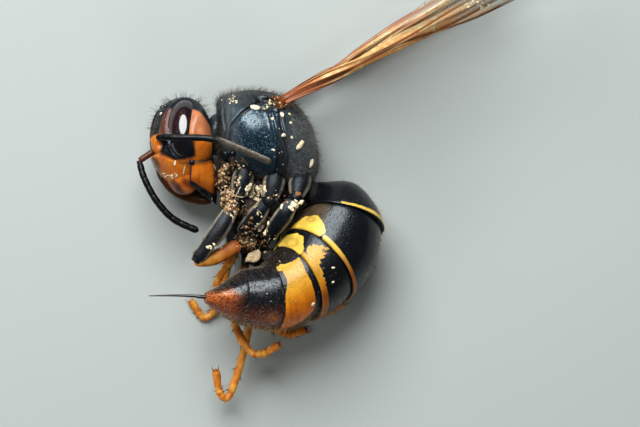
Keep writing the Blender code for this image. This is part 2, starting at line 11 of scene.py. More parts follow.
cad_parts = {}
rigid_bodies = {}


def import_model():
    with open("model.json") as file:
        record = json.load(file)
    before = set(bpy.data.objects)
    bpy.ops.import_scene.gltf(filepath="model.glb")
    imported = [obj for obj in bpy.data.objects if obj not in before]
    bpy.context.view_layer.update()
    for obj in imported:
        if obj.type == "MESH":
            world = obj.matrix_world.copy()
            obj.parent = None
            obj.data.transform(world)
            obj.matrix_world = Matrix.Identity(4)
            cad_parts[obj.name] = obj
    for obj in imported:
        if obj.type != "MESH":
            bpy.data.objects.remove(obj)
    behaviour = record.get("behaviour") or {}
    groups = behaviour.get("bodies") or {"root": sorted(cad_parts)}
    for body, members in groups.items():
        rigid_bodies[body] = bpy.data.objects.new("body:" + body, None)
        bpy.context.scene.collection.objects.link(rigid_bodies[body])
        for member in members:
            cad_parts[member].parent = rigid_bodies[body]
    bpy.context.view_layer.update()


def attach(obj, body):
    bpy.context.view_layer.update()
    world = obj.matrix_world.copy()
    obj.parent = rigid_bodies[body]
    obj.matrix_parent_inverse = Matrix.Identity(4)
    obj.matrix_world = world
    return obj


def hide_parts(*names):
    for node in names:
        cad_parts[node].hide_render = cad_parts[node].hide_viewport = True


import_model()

body = {
    "shift": np.array((-5.0053, -2.1379, 0.0)),  # from the maker's own origin to the frame's
    "midHeight": 2.29,  # of the plane between left and right
}
midHeight = body["midHeight"]


# Small mathematics
def curveAt(rows, t):  # smooth curve through evenly spaced rows of numbers
    rows = np.asarray(rows, float)
    t = clamp(np.asarray(t, float))
    last = len(rows) - 1
    place = t * last
    i = np.minimum(place.astype(int), last - 1)
    u = (place - i)[..., None]
    padded = np.vstack([2 * rows[0] - rows[1], rows, 2 * rows[-1] - rows[-2]])
    a, b, before, after = rows[i], rows[i + 1], padded[i], padded[i + 3]
    slope = (b - before) * u
    bend = (2 * before - 5 * a + 4 * b - after) * u**2
    return 0.5 * (2 * a + slope + bend + (3 * a - before - 3 * b + after) * u**3)


def softStep(x, low, high):
    t = clamp((np.asarray(x, float) - low) / (high - low))
    return t * t * (3 - 2 * t)


def hump(x, middle, width):
    return np.exp(-(((np.asarray(x, float) - middle) / width) ** 2))


def clamp(x):
    return np.clip(x, 0, 1)


def unit(v):
    v = np.asarray(v, float)
    return v / np.maximum(np.linalg.norm(v, axis=-1, keepdims=True), 1e-9)


def waves(points, scale, seed, count=7):  # cheap smooth noise from a few slanted sine waves, about -1 to 1
    gen = np.random.default_rng(seed)
    total = np.zeros(np.asarray(points).shape[:-1])
    for _ in range(count):
        way = unit(gen.normal(size=3)) * scale * gen.uniform(0.6, 1.6)
        total += np.sin(np.asarray(points) @ way + gen.uniform(0, 6.28))
    return total / count * 1.6


# Meshes
def ringFaces(rows, columns):  # quads of a tube of rings, each ring closed on itself
    r, c = np.meshgrid(np.arange(rows - 1), np.arange(columns), indexing="ij")
    low = r * columns + c
    lowNext = r * columns + (c + 1) % columns
    return np.stack([low, lowNext, lowNext + columns, low + columns], -1).reshape(-1, 4)


def tubeFaces(rows, columns):  # a tube of rings with both ends closed
    faces = ringFaces(rows, columns).tolist()
    faces.append(list(range(columns))[::-1])
    faces.append(list(range((rows - 1) * columns, rows * columns)))
    return faces


def closed(grid):  # a grid of rings with its faces
    return grid, tubeFaces(*grid.shape[:2])


def onFloor(points, lowest=0.0):  # nothing goes below the floor
    points[..., 2] = np.maximum(points[..., 2], lowest)
    return points


def gather(parts):  # several (points, faces) in one
    allPoints, allFaces, start = [], [], 0
    for points, faces in parts:
        points = np.asarray(points).reshape(-1, 3)
        allPoints.append(points)
        allFaces += [[i + start for i in face] for face in faces]
        start += len(points)
    return np.vstack(allPoints), allFaces


def addPiece(name, points, faces, finish, slot, replaced=(), fields=None, smoothAngle=None):
    world = (np.asarray(points, float).reshape(-1, 3) + body["shift"]) * 0.001
    mesh = bpy.data.meshes.new(name)
    mesh.from_pydata(world.tolist(), [], [list(map(int, f)) for f in faces])
    mesh.validate()
    mesh.shade_smooth()
    if smoothAngle:
        mesh.set_sharp_from_angle(angle=math.radians(smoothAngle))
    for key, values in (fields or {}).items():  # one value for all points, or one for each
        layer = mesh.attributes.new(key, "FLOAT", "POINT")
        each = np.zeros(len(world), np.float32) + np.asarray(values, np.float32).ravel()
        layer.data.foreach_set("value", each)
    mesh.materials.append(finish)
    piece = bpy.data.objects.new(name, mesh)
    bpy.context.scene.collection.objects.link(piece)
    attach(piece, "root")
    if replaced:
        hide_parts(*replaced)
    return piece


def frameAlong(path):  # along, across and up at each point of a path, without twist
    path = np.asarray(path, float)
    along = unit(np.gradient(path, axis=0))
    up = np.zeros_like(path)
    guide = np.array((0.0, 0.0, 1.0)) if abs(along[0][2]) < 0.9 else np.array((0.0, 1.0, 0.0))
    for i, a in enumerate(along):
        guide = unit(guide - a * np.dot(guide, a))
        up[i] = guide
    return along, unit(np.cross(along, up)), up


def rod(path, radii, sides=12, flat=1.0, ripple=None):  # a bent tapered tube: points and faces
    path = np.asarray(path, float)
    along, across, up = frameAlong(path)
    angle = np.linspace(0, 2 * math.pi, sides, endpoint=False)
    radii = np.asarray(radii, float)[:, None]
    wide = radii * np.cos(angle)[None]
    high = radii * np.sin(angle)[None] * (np.asarray(flat)[:, None] if np.ndim(flat) else flat)
    points = path[:, None] + across[:, None] * wide[..., None] + up[:, None] * high[..., None]
    if ripple is not None:
        points += unit(points - path[:, None]) * ripple(points)[..., None]
    return points.reshape(-1, 3), tubeFaces(len(path), sides)


# Node trees
def newMaterial(name):
    made = bpy.data.materials.new(name)
    made.use_nodes = True
    tree = made.node_tree
    return made, tree, tree.nodes["Principled BSDF"]


def feed(tree, node, values):  # each input gets a link from another node, or a plain number or colour
    for label, value in values.items():
        socket = node.inputs[label]
        if isinstance(value, bpy.types.NodeSocket):
            tree.links.new(value, socket)
        else:
            socket.default_value = (*value, 1) if socket.type == "RGBA" else value
    return node


def addNode(tree, kind, values=None, **settings):
    node = tree.nodes.new(kind)
    for key, value in settings.items():
        setattr(node, key, value)
    return feed(tree, node, values or {})


def newGroup(name, inputs, outputs):
    group = bpy.data.node_groups.new(name, "ShaderNodeTree")
    for label, kind, value in inputs:
        socket = group.interface.new_socket(label, in_out="INPUT", socket_type=kind)
        socket.default_value = value
    for label, kind in outputs:
        group.interface.new_socket(label, in_out="OUTPUT", socket_type=kind)
    return group, group.nodes.new("NodeGroupInput").outputs, group.nodes.new("NodeGroupOutput").inputs


def useGroup(tree, group, values):
    return feed(tree, addNode(tree, "ShaderNodeGroup", node_tree=group), values).outputs


def mixColour(tree, factor, a, b):
    values = {0: factor, 6: a, 7: b}
    return addNode(tree, "ShaderNodeMix", values, data_type="RGBA", clamp_factor=True).outputs[2]


def compute(tree, operation, a, b=0.5, c=0.5):
    return addNode(tree, "ShaderNodeMath", {0: a, 1: b, 2: c}, operation=operation).outputs[0]


def multiply(tree, a, b):
    return compute(tree, "MULTIPLY", a, b)


def remap(tree, value, fromMin, fromMax, toMin=0.0, toMax=1.0):
    links = {0: value, 1: fromMin, 2: fromMax, 3: toMin, 4: toMax}
    return addNode(tree, "ShaderNodeMapRange", links, interpolation_type="SMOOTHSTEP").outputs[0]


def field(tree, name):
    return addNode(tree, "ShaderNodeAttribute", attribute_name=name).outputs["Fac"]


def tint(tree, base, name, colour, strength=None):  # a colour laid over another where a field says so
    mask = field(tree, name)
    if strength is not None:
        mask = multiply(tree, mask, strength)
    return mixColour(tree, mask, base, colour)


def inMillimetres(tree):
    place = addNode(tree, "ShaderNodeTexCoord").outputs["Object"]
    return addNode(tree, "ShaderNodeVectorMath", {0: place, "Scale": 1000.0}, operation="SCALE").outputs[0]


def noiseAt(tree, scale, detail=2.0, roughness=0.5):  # 0 to 1, scale in waves to the millimetre
    values = {"Vector": inMillimetres(tree), "Scale": scale, "Detail": detail, "Roughness": roughness}
    return addNode(tree, "ShaderNodeTexNoise", values).outputs["Fac"]


def cellsAt(tree, scale, feature="F1"):
    values = {"Vector": inMillimetres(tree), "Scale": scale}
    return addNode(tree, "ShaderNodeTexVoronoi", values, feature=feature).outputs


def bumpFrom(tree, height, depth):  # depth in millimetres
    return addNode(tree, "ShaderNodeBump", {"Height": height, "Distance": depth * 0.001}).outputs[0]


def makeCuticleGroup():  # pits, fine wrinkles and mottling of insect cuticle, in millimetres
    group, given, out = newGroup(
        "cuticleRelief",
        [
            ("Pit size", "NodeSocketFloat", 0.06),
            ("Pit depth", "NodeSocketFloat", 1.0),
            ("Wrinkle size", "NodeSocketFloat", 0.25),
            ("Wrinkle depth", "NodeSocketFloat", 0.4),
        ],
        [("Height", "NodeSocketFloat"), ("Mottle", "NodeSocketFloat")],
    )
    pits = cellsAt(group, compute(group, "DIVIDE", 1.0, given["Pit size"]))
    pitMask = remap(group, pits["Distance"], 0.12, 0.42)
    wrinkle = noiseAt(group, compute(group, "DIVIDE", 1.0, given["Wrinkle size"]), 4.0)
    height = multiply(group, pitMask, given["Pit depth"])
    height = compute(group, "MULTIPLY_ADD", wrinkle, given["Wrinkle depth"], height)
    group.links.new(height, out["Height"])
    group.links.new(noiseAt(group, 1.7, 6.0), out["Mottle"])
    return group


def makeDustGroup():  # pale dust in patches and single specks
    group, given, out = newGroup(
        "dustFilm",
        [
            ("Colour", "NodeSocketColor", (0.1, 0.1, 0.1, 1)),
            ("Dust colour", "NodeSocketColor", (0.36, 0.33, 0.29, 1)),
            ("Film", "NodeSocketFloat", 0.25),
            ("Specks", "NodeSocketFloat", 0.3),
        ],
        [("Colour", "NodeSocketColor"), ("Dust", "NodeSocketFloat")],
    )
    patch = noiseAt(group, 1.1, 8.0, 0.62)
    film = multiply(group, remap(group, patch, 0.42, 0.72), given["Film"])
    grain = cellsAt(group, 7.0)
    speck = compute(group, "LESS_THAN", grain["Distance"], multiply(group, given["Specks"], 0.32))
    speck = multiply(group, speck, compute(group, "GREATER_THAN", grain["Color"], 0.72))
    dust = compute(group, "MAXIMUM", film, multiply(group, speck, 0.85))
    group.links.new(mixColour(group, dust, given["Colour"], given["Dust colour"]), out["Colour"])
    group.links.new(dust, out["Dust"])
    return group


cuticleRelief = makeCuticleGroup()
dustFilm = makeDustGroup()


def finishCuticle(tree, shader, colour, look):  # joins colour, dust and relief to a material's own shader
    sizes = {"Pit size": "pitSize", "Pit depth": "pitDepth", "Wrinkle size": "wrinkleSize"}
    sizes["Wrinkle depth"] = "wrinkleDepth"
    relief = useGroup(tree, cuticleRelief, {label: look[key] for label, key in sizes.items()})
    dark = mixColour(tree, remap(tree, relief["Mottle"], 0.3, 0.7, 0.0, look["mottle"]), colour, (0, 0, 0))
    dusted = useGroup(tree, dustFilm, {"Colour": dark, "Film": look["film"], "Specks": look["specks"]})
    values = {
        "Base Color": dusted["Colour"],
        "Roughness": remap(tree, dusted["Dust"], 0.0, 0.5, look["roughness"], 0.85),
        "Normal": bumpFrom(tree, relief["Height"], look["bump"]),
        "Specular IOR Level": look.get("specular", 0.4),
        "Specular Tint": look.get("sheen", (1.0, 1.0, 1.0)),
        "Coat Weight": look.get("coat", 0.0),
        "Coat Roughness": look.get("coatRoughness", 0.15),
    }
    feed(tree, shader, values)


# Trunk: oval sections along a bent middle line. Angle 0 is the back, a quarter turn the left flank.
def trunkPoints(stations, t, angle, lift=0.0):
    row = curveAt(stations, t)
    c, s = np.cos(angle), np.sin(angle)
    power = 2 / row[..., 9]
    c = np.sign(c) * np.abs(c) ** power
    s = np.sign(s) * np.abs(s) ** power
    out = c[..., None] * row[..., 3:6] + s[..., None] * row[..., 6:9]
    return row[..., 0:3] + out + unit(out) * np.asarray(lift)[..., None]


def thoraxStation(top, bottom, halfWidth, squareness=2.2):
    top, bottom = np.array((*top, midHeight)), np.array((*bottom, midHeight))
    return [*((top + bottom) / 2), *((top - bottom) / 2), 0, 0, halfWidth, squareness]


thorax = {
    "stations": [
        thoraxStation((-2.62, 4.65), (-2.55, 2.75), 1.15),
        thoraxStation((-2.25, 5.12), (-2.25, 1.85), 1.80),
        thoraxStation((-1.15, 5.38), (-1.55, 1.25), 2.18),
        thoraxStation((0.15, 5.24), (-0.65, 0.85), 2.35),
        thoraxStation((1.20, 4.70), (0.30, 0.70), 2.30),
        thoraxStation((1.95, 3.65), (1.00, 0.65), 2.00),
        thoraxStation((2.30, 2.40), (1.55, 0.60), 1.40),
        thoraxStation((2.32, 1.45), (1.85, 0.58), 0.55),
    ],
    "rings": 230,
    "columns": 220,
    "grooveDepth": 0.16,
    "grooveWidth": 0.055,
    "grooveShare": {
        "epicnemium": 0.3, "underwing": 0.5, "collar": 0.5, "metapleuron": 0.35,
        "propodeumEdge": 0.15, "mesopleuronRear": 0.7,
    },
    "crossSeams": (0.62, 1.25),  # X of the two across the back
    "furrows": (0.0, 0.75, -0.75),  # left of the middle line
    "pleuronSwell": 0.19,
    "glossy": (0.006, 0.019, 0.034),
    "grey": (0.085, 0.095, 0.103),
    "velvet": (0.009, 0.009, 0.011),
    # glint: colour of painted glints, pale blue specks standing in for light sparkling off the side plate's
    # bumps
    "glint": (0.085, 0.15, 0.19),
}


def distanceToPath(x, y, path):  # shortest distance in a flat plane to a bent line
    best = np.full(np.shape(x), 1e9)
    for (ax, ay), (bx, by) in zip(path, path[1:]):
        dx, dy = bx - ax, by - ay
        share = clamp(((x - ax) * dx + (y - ay) * dy) / (dx * dx + dy * dy))
        best = np.minimum(best, np.hypot(x - ax - share * dx, y - ay - share * dy))
    return best


# Seams of the flank, in X and Y, the same on both sides
flankSeams = {
    "collar": [(-2.15, 5.1), (-2.25, 4.2), (-2.10, 3.3), (-2.35, 2.5)],
    "pronotumEdge": [(-1.15, 5.5), (-0.55, 4.75), (-1.35, 4.15), (-1.85, 3.55), (-1.95, 2.7), (-1.75, 2.0)],
    "shoulder": [(-0.55, 4.75), (0.05, 4.65), (0.45, 4.75)],
    "epicnemium": [(-1.75, 2.9), (-1.25, 2.25), (-0.55, 1.9), (0.35, 1.75)],
    "mesopleuronRear": [(-0.10, 4.45), (0.10, 3.85), (0.28, 3.0), (0.45, 2.2), (0.30, 1.3)],
    "metapleuron": [(0.50, 4.35), (0.55, 3.7), (0.75, 3.0), (0.95, 2.2), (0.85, 1.3)],
    "propodeumEdge": [(1.05, 4.75), (1.00, 4.0), (1.15, 3.2), (1.35, 2.4), (1.45, 1.4)],
    "underwing": [(-0.45, 4.35), (0.10, 4.35), (0.65, 4.25)],
}


def buildThorax():
    t = np.linspace(0, 1, thorax["rings"]) ** 0.9
    angle = np.linspace(0, 2 * math.pi, thorax["columns"], endpoint=False)
    tt, aa = np.meshgrid(t, angle, indexing="ij")
    points = trunkPoints(thorax["stations"], tt, aa)
    x, y = points[..., 0], points[..., 1]
    flank = softStep(np.abs(np.sin(aa)), 0.35, 0.6)
    lift = np.zeros_like(tt)
    for name, path in flankSeams.items():
        near = distanceToPath(x, y, path)
        deep = thorax["grooveDepth"] * thorax["grooveShare"].get(name, 1.0)
        lift -= deep * flank * hump(near, 0, thorax["grooveWidth"])
        lift += 0.22 * deep * flank * hump(near, 0.14, 0.07)
    # the glossy side plate swells below the wing
    plate = np.exp(-(((x + 0.95) / 0.90) ** 2) - (((y - 3.40) / 0.95) ** 2))
    lift += thorax["pleuronSwell"] * flank * plate
    # furrows of the back: middle line, side lines and the two cross seams
    top = softStep(np.cos(aa), 0.55, 0.8)
    z = points[..., 2] - midHeight
    for middle in thorax["furrows"]:
        lift -= 0.05 * top * hump(z, middle, 0.05) * softStep(-x, -0.7, -0.3)
    for place in thorax["crossSeams"]:
        lift -= 0.12 * top * hump(x, place, 0.06)
    lift += 0.10 * top * hump(x, 0.95, 0.25)
    hollow = np.exp(-(((x - 2.25) / 0.30) ** 2) - ((z / 0.35) ** 2))
    lift -= 0.12 * hollow * softStep(np.cos(aa), -0.4, 0.4)
    lift += 0.018 * waves(points, 3.2, 11) + 0.008 * waves(points, 9.0, 12)
    points = trunkPoints(thorax["stations"], tt, aa, lift)
    points = onFloor(points)
    gloss = np.where((x > -1.85) & (x < 0.4), 1.0, 0.0) * flank * softStep(4.55 - y, 0.0, 0.35)
    gloss = gloss * softStep(distanceToPath(x, y, flankSeams["pronotumEdge"]), 0.02, 0.1)
    # grey: on the collar a painted grey-blue sheen, towards the rear the grey fuzz's own colour
    grey = clamp(hump(x, -1.9, 0.5) + 0.9 * softStep(x, 0.65, 1.2))
    # the third field marks where the painted glints go: the glossy plate above its lowest part
    return points, {"gloss": gloss, "grain": gloss * softStep(y, 1.7, 2.6), "grey": grey}


def makeThoraxFinish():
    made, tree, shader = newMaterial("thoraxCuticle")
    gloss, grey = field(tree, "gloss"), field(tree, "grey")
    base = mixColour(tree, gloss, thorax["velvet"], thorax["glossy"])
    # painted sheen on the collar and the rear's own grey, laid on in one tint
    base = tint(tree, base, "grey", thorax["grey"], 0.8)
    # painted glints: noisy pale blue specks over the glossy plate
    base = tint(tree, base, "grain", thorax["glint"], remap(tree, noiseAt(tree, 13.0, 1.0), 0.54, 0.66))
    look = {
        "pitSize": 0.085,
        "pitDepth": remap(tree, gloss, 0.0, 1.0, 0.9, 1.9),
        "wrinkleSize": 0.16,
        "wrinkleDepth": 0.4,
        "mottle": 0.35,
        "film": 0.012,
        "specks": 0.14,
        "roughness": remap(tree, compute(tree, "SUBTRACT", gloss, grey), -0.5, 1.0, 0.60, 0.28),
        "specular": 0.6,
        "sheen": (0.62, 0.86, 1.0),
        "bump": 0.030,
        "coat": 0.5,
        "coatRoughness": 0.25,
    }
    finishCuticle(tree, shader, base, look)
    return made


thoraxFinish = makeThoraxFinish()
thoraxGrid, thoraxFields = buildThorax()
addPiece(
    "thoraxSkin",
    *closed(thoraxGrid),
    thoraxFinish,
    "black_cuticle",
    ("pronotum", "mesothorax", "propodeum"),
    thoraxFields,
)
print("thorax done")


# Abdomen: middle line from the waist to the tip.
# Each station is a centre, rise, heading, tilt and two half sizes.
def gasterStation(centre, rise, heading, tilt, halfHeight, halfWidth):
    heading, tilt = math.radians(heading), math.radians(tilt)
    along = np.array((math.cos(heading), math.sin(heading), 0.0))
    back = np.array((-along[1], along[0], 0.0))
    side = np.array((-along[0] * math.sin(tilt), -along[1] * math.sin(tilt), math.cos(tilt)))
    return [centre[0], centre[1], midHeight + rise, *(back * halfHeight), *(side * halfWidth), 2.1]


gaster = {
    "stations": [
        gasterStation((2.20, 0.58), 0.00, -25, 4, 0.35, 0.40),
        gasterStation((3.03, 0.19), 0.00, -66, 8, 1.33, 1.56),
        gasterStation((3.58, -0.88), -0.03, -102, 18, 1.96, 2.32),
        gasterStation((3.10, -2.10), 0.06, -121, 25, 2.30, 2.62),
        gasterStation((2.24, -3.18), 0.42, -137, 27, 2.26, 2.58),
        gasterStation((1.28, -4.04), 0.86, -152, 26, 1.98, 2.26),
        gasterStation((-0.07, -4.67), 1.30, -171, 23, 1.60, 1.77),
        gasterStation((-1.35, -4.70), 1.70, -181, 21, 1.29, 1.33),
        gasterStation((-2.45, -4.70), 2.08, -182, 20, 0.58, 0.66),
        gasterStation((-3.10, -4.70), 2.30, -182, 20, 0.26, 0.28),
    ],
    "ends": [0.0, 0.235, 0.445, 0.555, 0.66, 0.785, 1.0],
    "edgeDegrees": [112, 109, 124, 126, 122, 118],  # where back plate and belly plate meet
    "lengths": [1.9, 2.9, 1.6, 1.5, 1.6, 2.2],  # of each plate along the flank
    "breadths": [1.6, 2.4, 2.4, 2.1, 1.6, 1.0],  # from the middle line out to the flank
    "halfColumns": 116,
    "lip": 0.07,
    "tuck": 0.085,
    "plateStep": 0.04,
    "black": (0.006, 0.007, 0.010),
    "brown": (0.105, 0.075, 0.042),
    "yellow": (0.82, 0.56, 0.10),
    "orange": (0.74, 0.19, 0.008),
    "golden": (0.60, 0.30, 0.012),
    "rust": (0.33, 0.085, 0.012),
    "chestnut": (0.32, 0.075, 0.020),
    # ember: colour of the painted glow on the tip
    "ember": (0.66, 0.19, 0.022),
    "ochre": (0.34, 0.19, 0.04),
    # pale: colour of the painted highlight on the second plate's edge ridge
    "pale": (0.25, 0.23, 0.17),
}
plateRings = np.array([0, 0.012, 0.035, 0.07, 0.12, 0.18, 0.25, 0.33, 0.41, 0.49, 0.57, 0.65, 0.72, 0.78])
plateRings = np.concatenate([plateRings, [0.83, 0.87, 0.90, 0.93, 0.955, 0.975, 0.988, 0.996, 1.0]])


def buildGaster():
    half = gaster["halfColumns"]
    rows, shares, numbers = [], [], []
    ends = gaster["ends"]
    for i, (start, end) in enumerate(zip(ends, ends[1:])):
        rings = plateRings if i < 5 else np.concatenate([plateRings[:-5], [0.95, 0.975, 0.99, 1.0]])
        rows += list(start + (end - start) * rings)
        shares += list(rings)
        numbers += [i] * len(rings)
    number = np.array(numbers)
    edge = np.radians(np.array(gaster["edgeDegrees"]))[number][:, None]
    upper = np.linspace(0, 1, half // 2)[None] * edge
    belly = edge + 0.004 + np.linspace(0, 1, half // 2)[None] * (math.pi - edge - 0.004)
    left = np.concatenate([upper, belly], 1)
    aa = np.concatenate([left[:, :-1], (2 * math.pi - left)[:, ::-1][:, :-1]], 1)
    tt = np.repeat(np.array(rows)[:, None], aa.shape[1], 1)
    share = np.repeat(np.array(shares)[:, None], aa.shape[1], 1)
    number = np.repeat(number[:, None], aa.shape[1], 1)
    fold = np.minimum(aa, 2 * math.pi - aa)  # 0 at the back, pi at the belly
    size = np.array([1.0, 1.0, 0.9, 0.9, 0.3, 0.0])[number]
    lift = gaster["lip"] * size * softStep(share, 0.15, 0.97) - 0.02
    tuck = np.array([0.0, 1.0, 1.0, 1.0, 1.0, 0.3])[number]
    lift -= gaster["tuck"] * np.exp(-share / 0.16) * tuck
    tail = (number == 5) * np.sin(math.pi * clamp(share) ** 0.8)
    lift += 0.15 * tail * softStep(np.sin(fold + 0.6), -0.4, 0.9)
    lift -= gaster["lip"] * 0.5 * softStep(share, 0.985, 1.0) * size
    lift -= 0.11 * (number == 1) * softStep(0.62 - share, 0, 0.5) * softStep(np.cos(fold), 0.1, 0.9)
    lift -= 0.10 * (number == 3) * softStep(0.5 - share, 0, 0.5) * softStep(np.cos(fold), 0.1, 0.9)
    plate = np.where(fold < edge + 0.002, gaster["plateStep"], -gaster["plateStep"] * 0.8)
    lift += plate * np.where(number > 0, 1.0, 0.3) * np.where(number == 5, 0.5, 1.0)
    points = trunkPoints(gaster["stations"], tt, aa)
    lift += 0.014 * waves(points, 2.6, 21) + 0.006 * waves(points, 8.0, 22)
    points = trunkPoints(gaster["stations"], tt, aa, lift)
    points = onFloor(points)
    leftTwin = trunkPoints(gaster["stations"], tt, fold, lift)  # the same place on the left flank
    return points, leftTwin, share, number, fold


def insideShape(x, y, corners):  # signed distance to a closed outline, positive inside
    corners = list(corners) + [corners[0]]
    far = distanceToPath(x, y, corners)
    crossings = np.zeros(np.shape(x), bool)
    for (ax, ay), (bx, by) in zip(corners, corners[1:]):
        spans = (ay > y) != (by > y)
        crossings ^= spans & (x < (bx - ax) * (y - ay) / np.where(by == ay, 1e-9, by - ay) + ax)
    return np.where(crossings, far, -far)


# Yellow patches of the left flank, in X and Y
patches = {
    "belly2": [
        (0.89, -1.39), (1.74, -0.78), (2.35, -0.75), (2.65, -1.15), (2.73, -1.57), (2.35, -1.84),
        (1.74, -1.65), (1.20, -1.45),
    ],
    "belly3": [
        (0.40, -2.18), (0.56, -1.84), (0.83, -1.69), (1.32, -1.60), (1.66, -1.77), (1.64, -2.18),
        (1.70, -2.56), (1.44, -2.74), (0.83, -2.66), (0.46, -2.45),
    ],
    "back3": [
        (1.74, -2.46), (1.84, -2.27), (1.98, -2.15), (2.04, -2.32), (2.11, -2.02), (2.22, -2.21),
        (2.30, -2.05), (2.41, -2.27), (2.56, -2.12), (2.62, -2.34), (2.86, -2.27), (2.90, -2.38),
        (2.69, -2.51), (2.83, -2.60), (2.58, -2.69), (2.71, -2.81), (2.48, -2.88), (2.59, -3.04),
        (2.43, -3.16), (2.56, -3.41), (2.62, -3.73), (2.72, -4.18), (2.46, -4.18), (2.27, -3.54),
        (1.98, -3.03),
    ],
    "belly4": [(0.36, -3.25), (0.52, -3.11), (0.74, -3.09), (0.81, -3.27), (0.63, -3.43), (0.39, -3.44)],
}


def gasterMarks(points, twin, share, number, fold):  # how far inside each mark a point is, in millimetres
    degrees = np.degrees(fold)
    along = share * np.array(gaster["lengths"])[number]
    rim = np.array(gaster["lengths"])[number] - along
    edgeHere = np.array(gaster["edgeDegrees"])[number]
    back = np.radians(edgeHere - degrees) * np.array(gaster["breadths"])[number]  # up from the plate's edge
    onBack = back > 0
    jag = 0.06 * waves(points, 9.0, 31) + 0.05 * waves(points, 22.0, 32)
    yellow = np.full(share.shape, -1.0)
    x, y = twin[..., 0], twin[..., 1]
    px, py, pz = points[..., 0], points[..., 1] + 1.2 * jag, points[..., 2]
    low = -points[..., 1]

    def put(segment, *limits):  # the mark lies inside all its limits
        np.maximum(yellow, np.where(number == segment, np.minimum.reduce(limits), -1.0), out=yellow)

    def on(segments, amount):
        return np.where(segments, amount, 0.0)

    second, third, fourth, last = (number == i for i in (1, 2, 3, 5))
    put(0, 0.19 - rim, rim - 0.045, (97 - degrees) / 25)
    put(1, 0.16 + 0.10 * softStep(degrees, 60, 105) - rim, back - 0.02)
    put(1, insideShape(x, y, patches["belly2"]) + 0.3 * jag, -back + 0.10)
    put(2, 0.25 - rim, back - 0.02)
    ragged = 0.10 * waves(np.stack([x * 0.4, y, x * 0], -1), 30.0, 33) * softStep(x, 2.2, 2.6)
    put(2, insideShape(x, y, patches["back3"]) + 0.6 * jag + ragged, back)
    put(2, insideShape(x, y, patches["belly3"]) + 0.2 * jag, -back + 0.02)
    baseStrip = 0.27 + 0.75 * softStep(46 - degrees, 0, 40) - 0.14 * softStep(degrees, 98, 122)
    rearEdge = rim - 0.26 * softStep(degrees, 82, 108) + 0.3 * jag
    put(3, along - baseStrip + 0.2 * jag, back - 0.06 + 0.30 * softStep(along, 0.3, 0.9), rearEdge)
    put(3, insideShape(x, y, patches["belly4"]) + 0.8 * jag, -back)
    nearBack = softStep(back, -0.20, 0.0)
    orange = on(fourth, (0.22 + 0.78 * softStep(116 - degrees, 0, 62)) * nearBack) + 0.28 * (third & onBack)
    bandWarm = on(second | third, softStep(104 - degrees, 0, 55)) * (rim < 0.35)
    rust = on(third & onBack, softStep(0.16 - back, 0, 0.12) * softStep(degrees, 90, 110))
    fibre = softStep(waves(points * np.array((1.0, 0.14, 0.14)), 22.0, 36), -0.2, 0.7)
    rust += on(fourth & onBack, 0.5 * fibre * softStep(low - 4.3, 0, 1.3))
    ruddy = softStep(share, 0.0, 0.42) * softStep(low - 4.42, -0.12, 0.22)
    ruddy = on(last, np.maximum(ruddy, softStep(share, 0.62, 0.9)))
    ruddy += on(number >= 4, 0.55 * softStep(low - 4.85, 0, 1.2) * softStep(pz, 1.0, 2.5))
    # painted glow: orange light painted on the tip's top and a spot on the fifth plate, kept to where the
    # skin stands highest
    glow = hump(px, -2.0, 0.42) * hump(py, -4.55, 0.17) + 0.7 * hump(px, -2.75, 0.4) * hump(py, -4.72, 0.2)
    glow = on(last, glow) + on(number == 4, 0.6 * hump(px, 0.15, 0.36) * hump(py, -5.72, 0.22))
    brown = on(second, softStep(-back, -0.02, 0.45) * (0.75 + 0.25 * waves(points, 11.0, 34)))
    brown += on(fourth, 0.16 * softStep(-back, 0, 0.2))
    ring1 = np.hypot((x - 2.015) / 0.27, (y + 0.93) / 0.15)
    ring2 = np.hypot((x - 1.07) / 0.31, (y + 2.05) / 0.20)
    spot = on(second, 0.6 * hump(ring1, 0.75, 0.35) + 0.4 * (ring1 < 0.8))
    spot += on(third, 0.55 * hump(ring2, 0.95, 0.22) + 0.12 * (ring2 < 0.9)) * (back < 0)
    spot += 0.3 * (fourth & (back < -0.1))
    golden = on(fourth, (0.35 * softStep(degrees, 45, 70) + 0.5 * softStep(degrees, 62, 104)) * nearBack)
    return {
        "yellow": yellow,
        "orange": clamp(orange + 0.35 * bandWarm),
        "golden": golden + 0.8 * (third & onBack),
        "rust": clamp(bandWarm * 0.9 + rust),
        "ruddy": clamp(ruddy),
        "glow": clamp(glow * softStep(pz, 3.0, 3.8)),
        "brown": clamp(brown),
        "spot": clamp(spot),
        "rough": np.where(number >= 4, 1.0, 0.15),
        # painted highlight: a thin pale line where light catches the ridge along the second back plate's
        # edge
        "paleLine": on(second, hump(back, 0.03, 0.02) * softStep(rim, 0.2, 0.5)),
    }


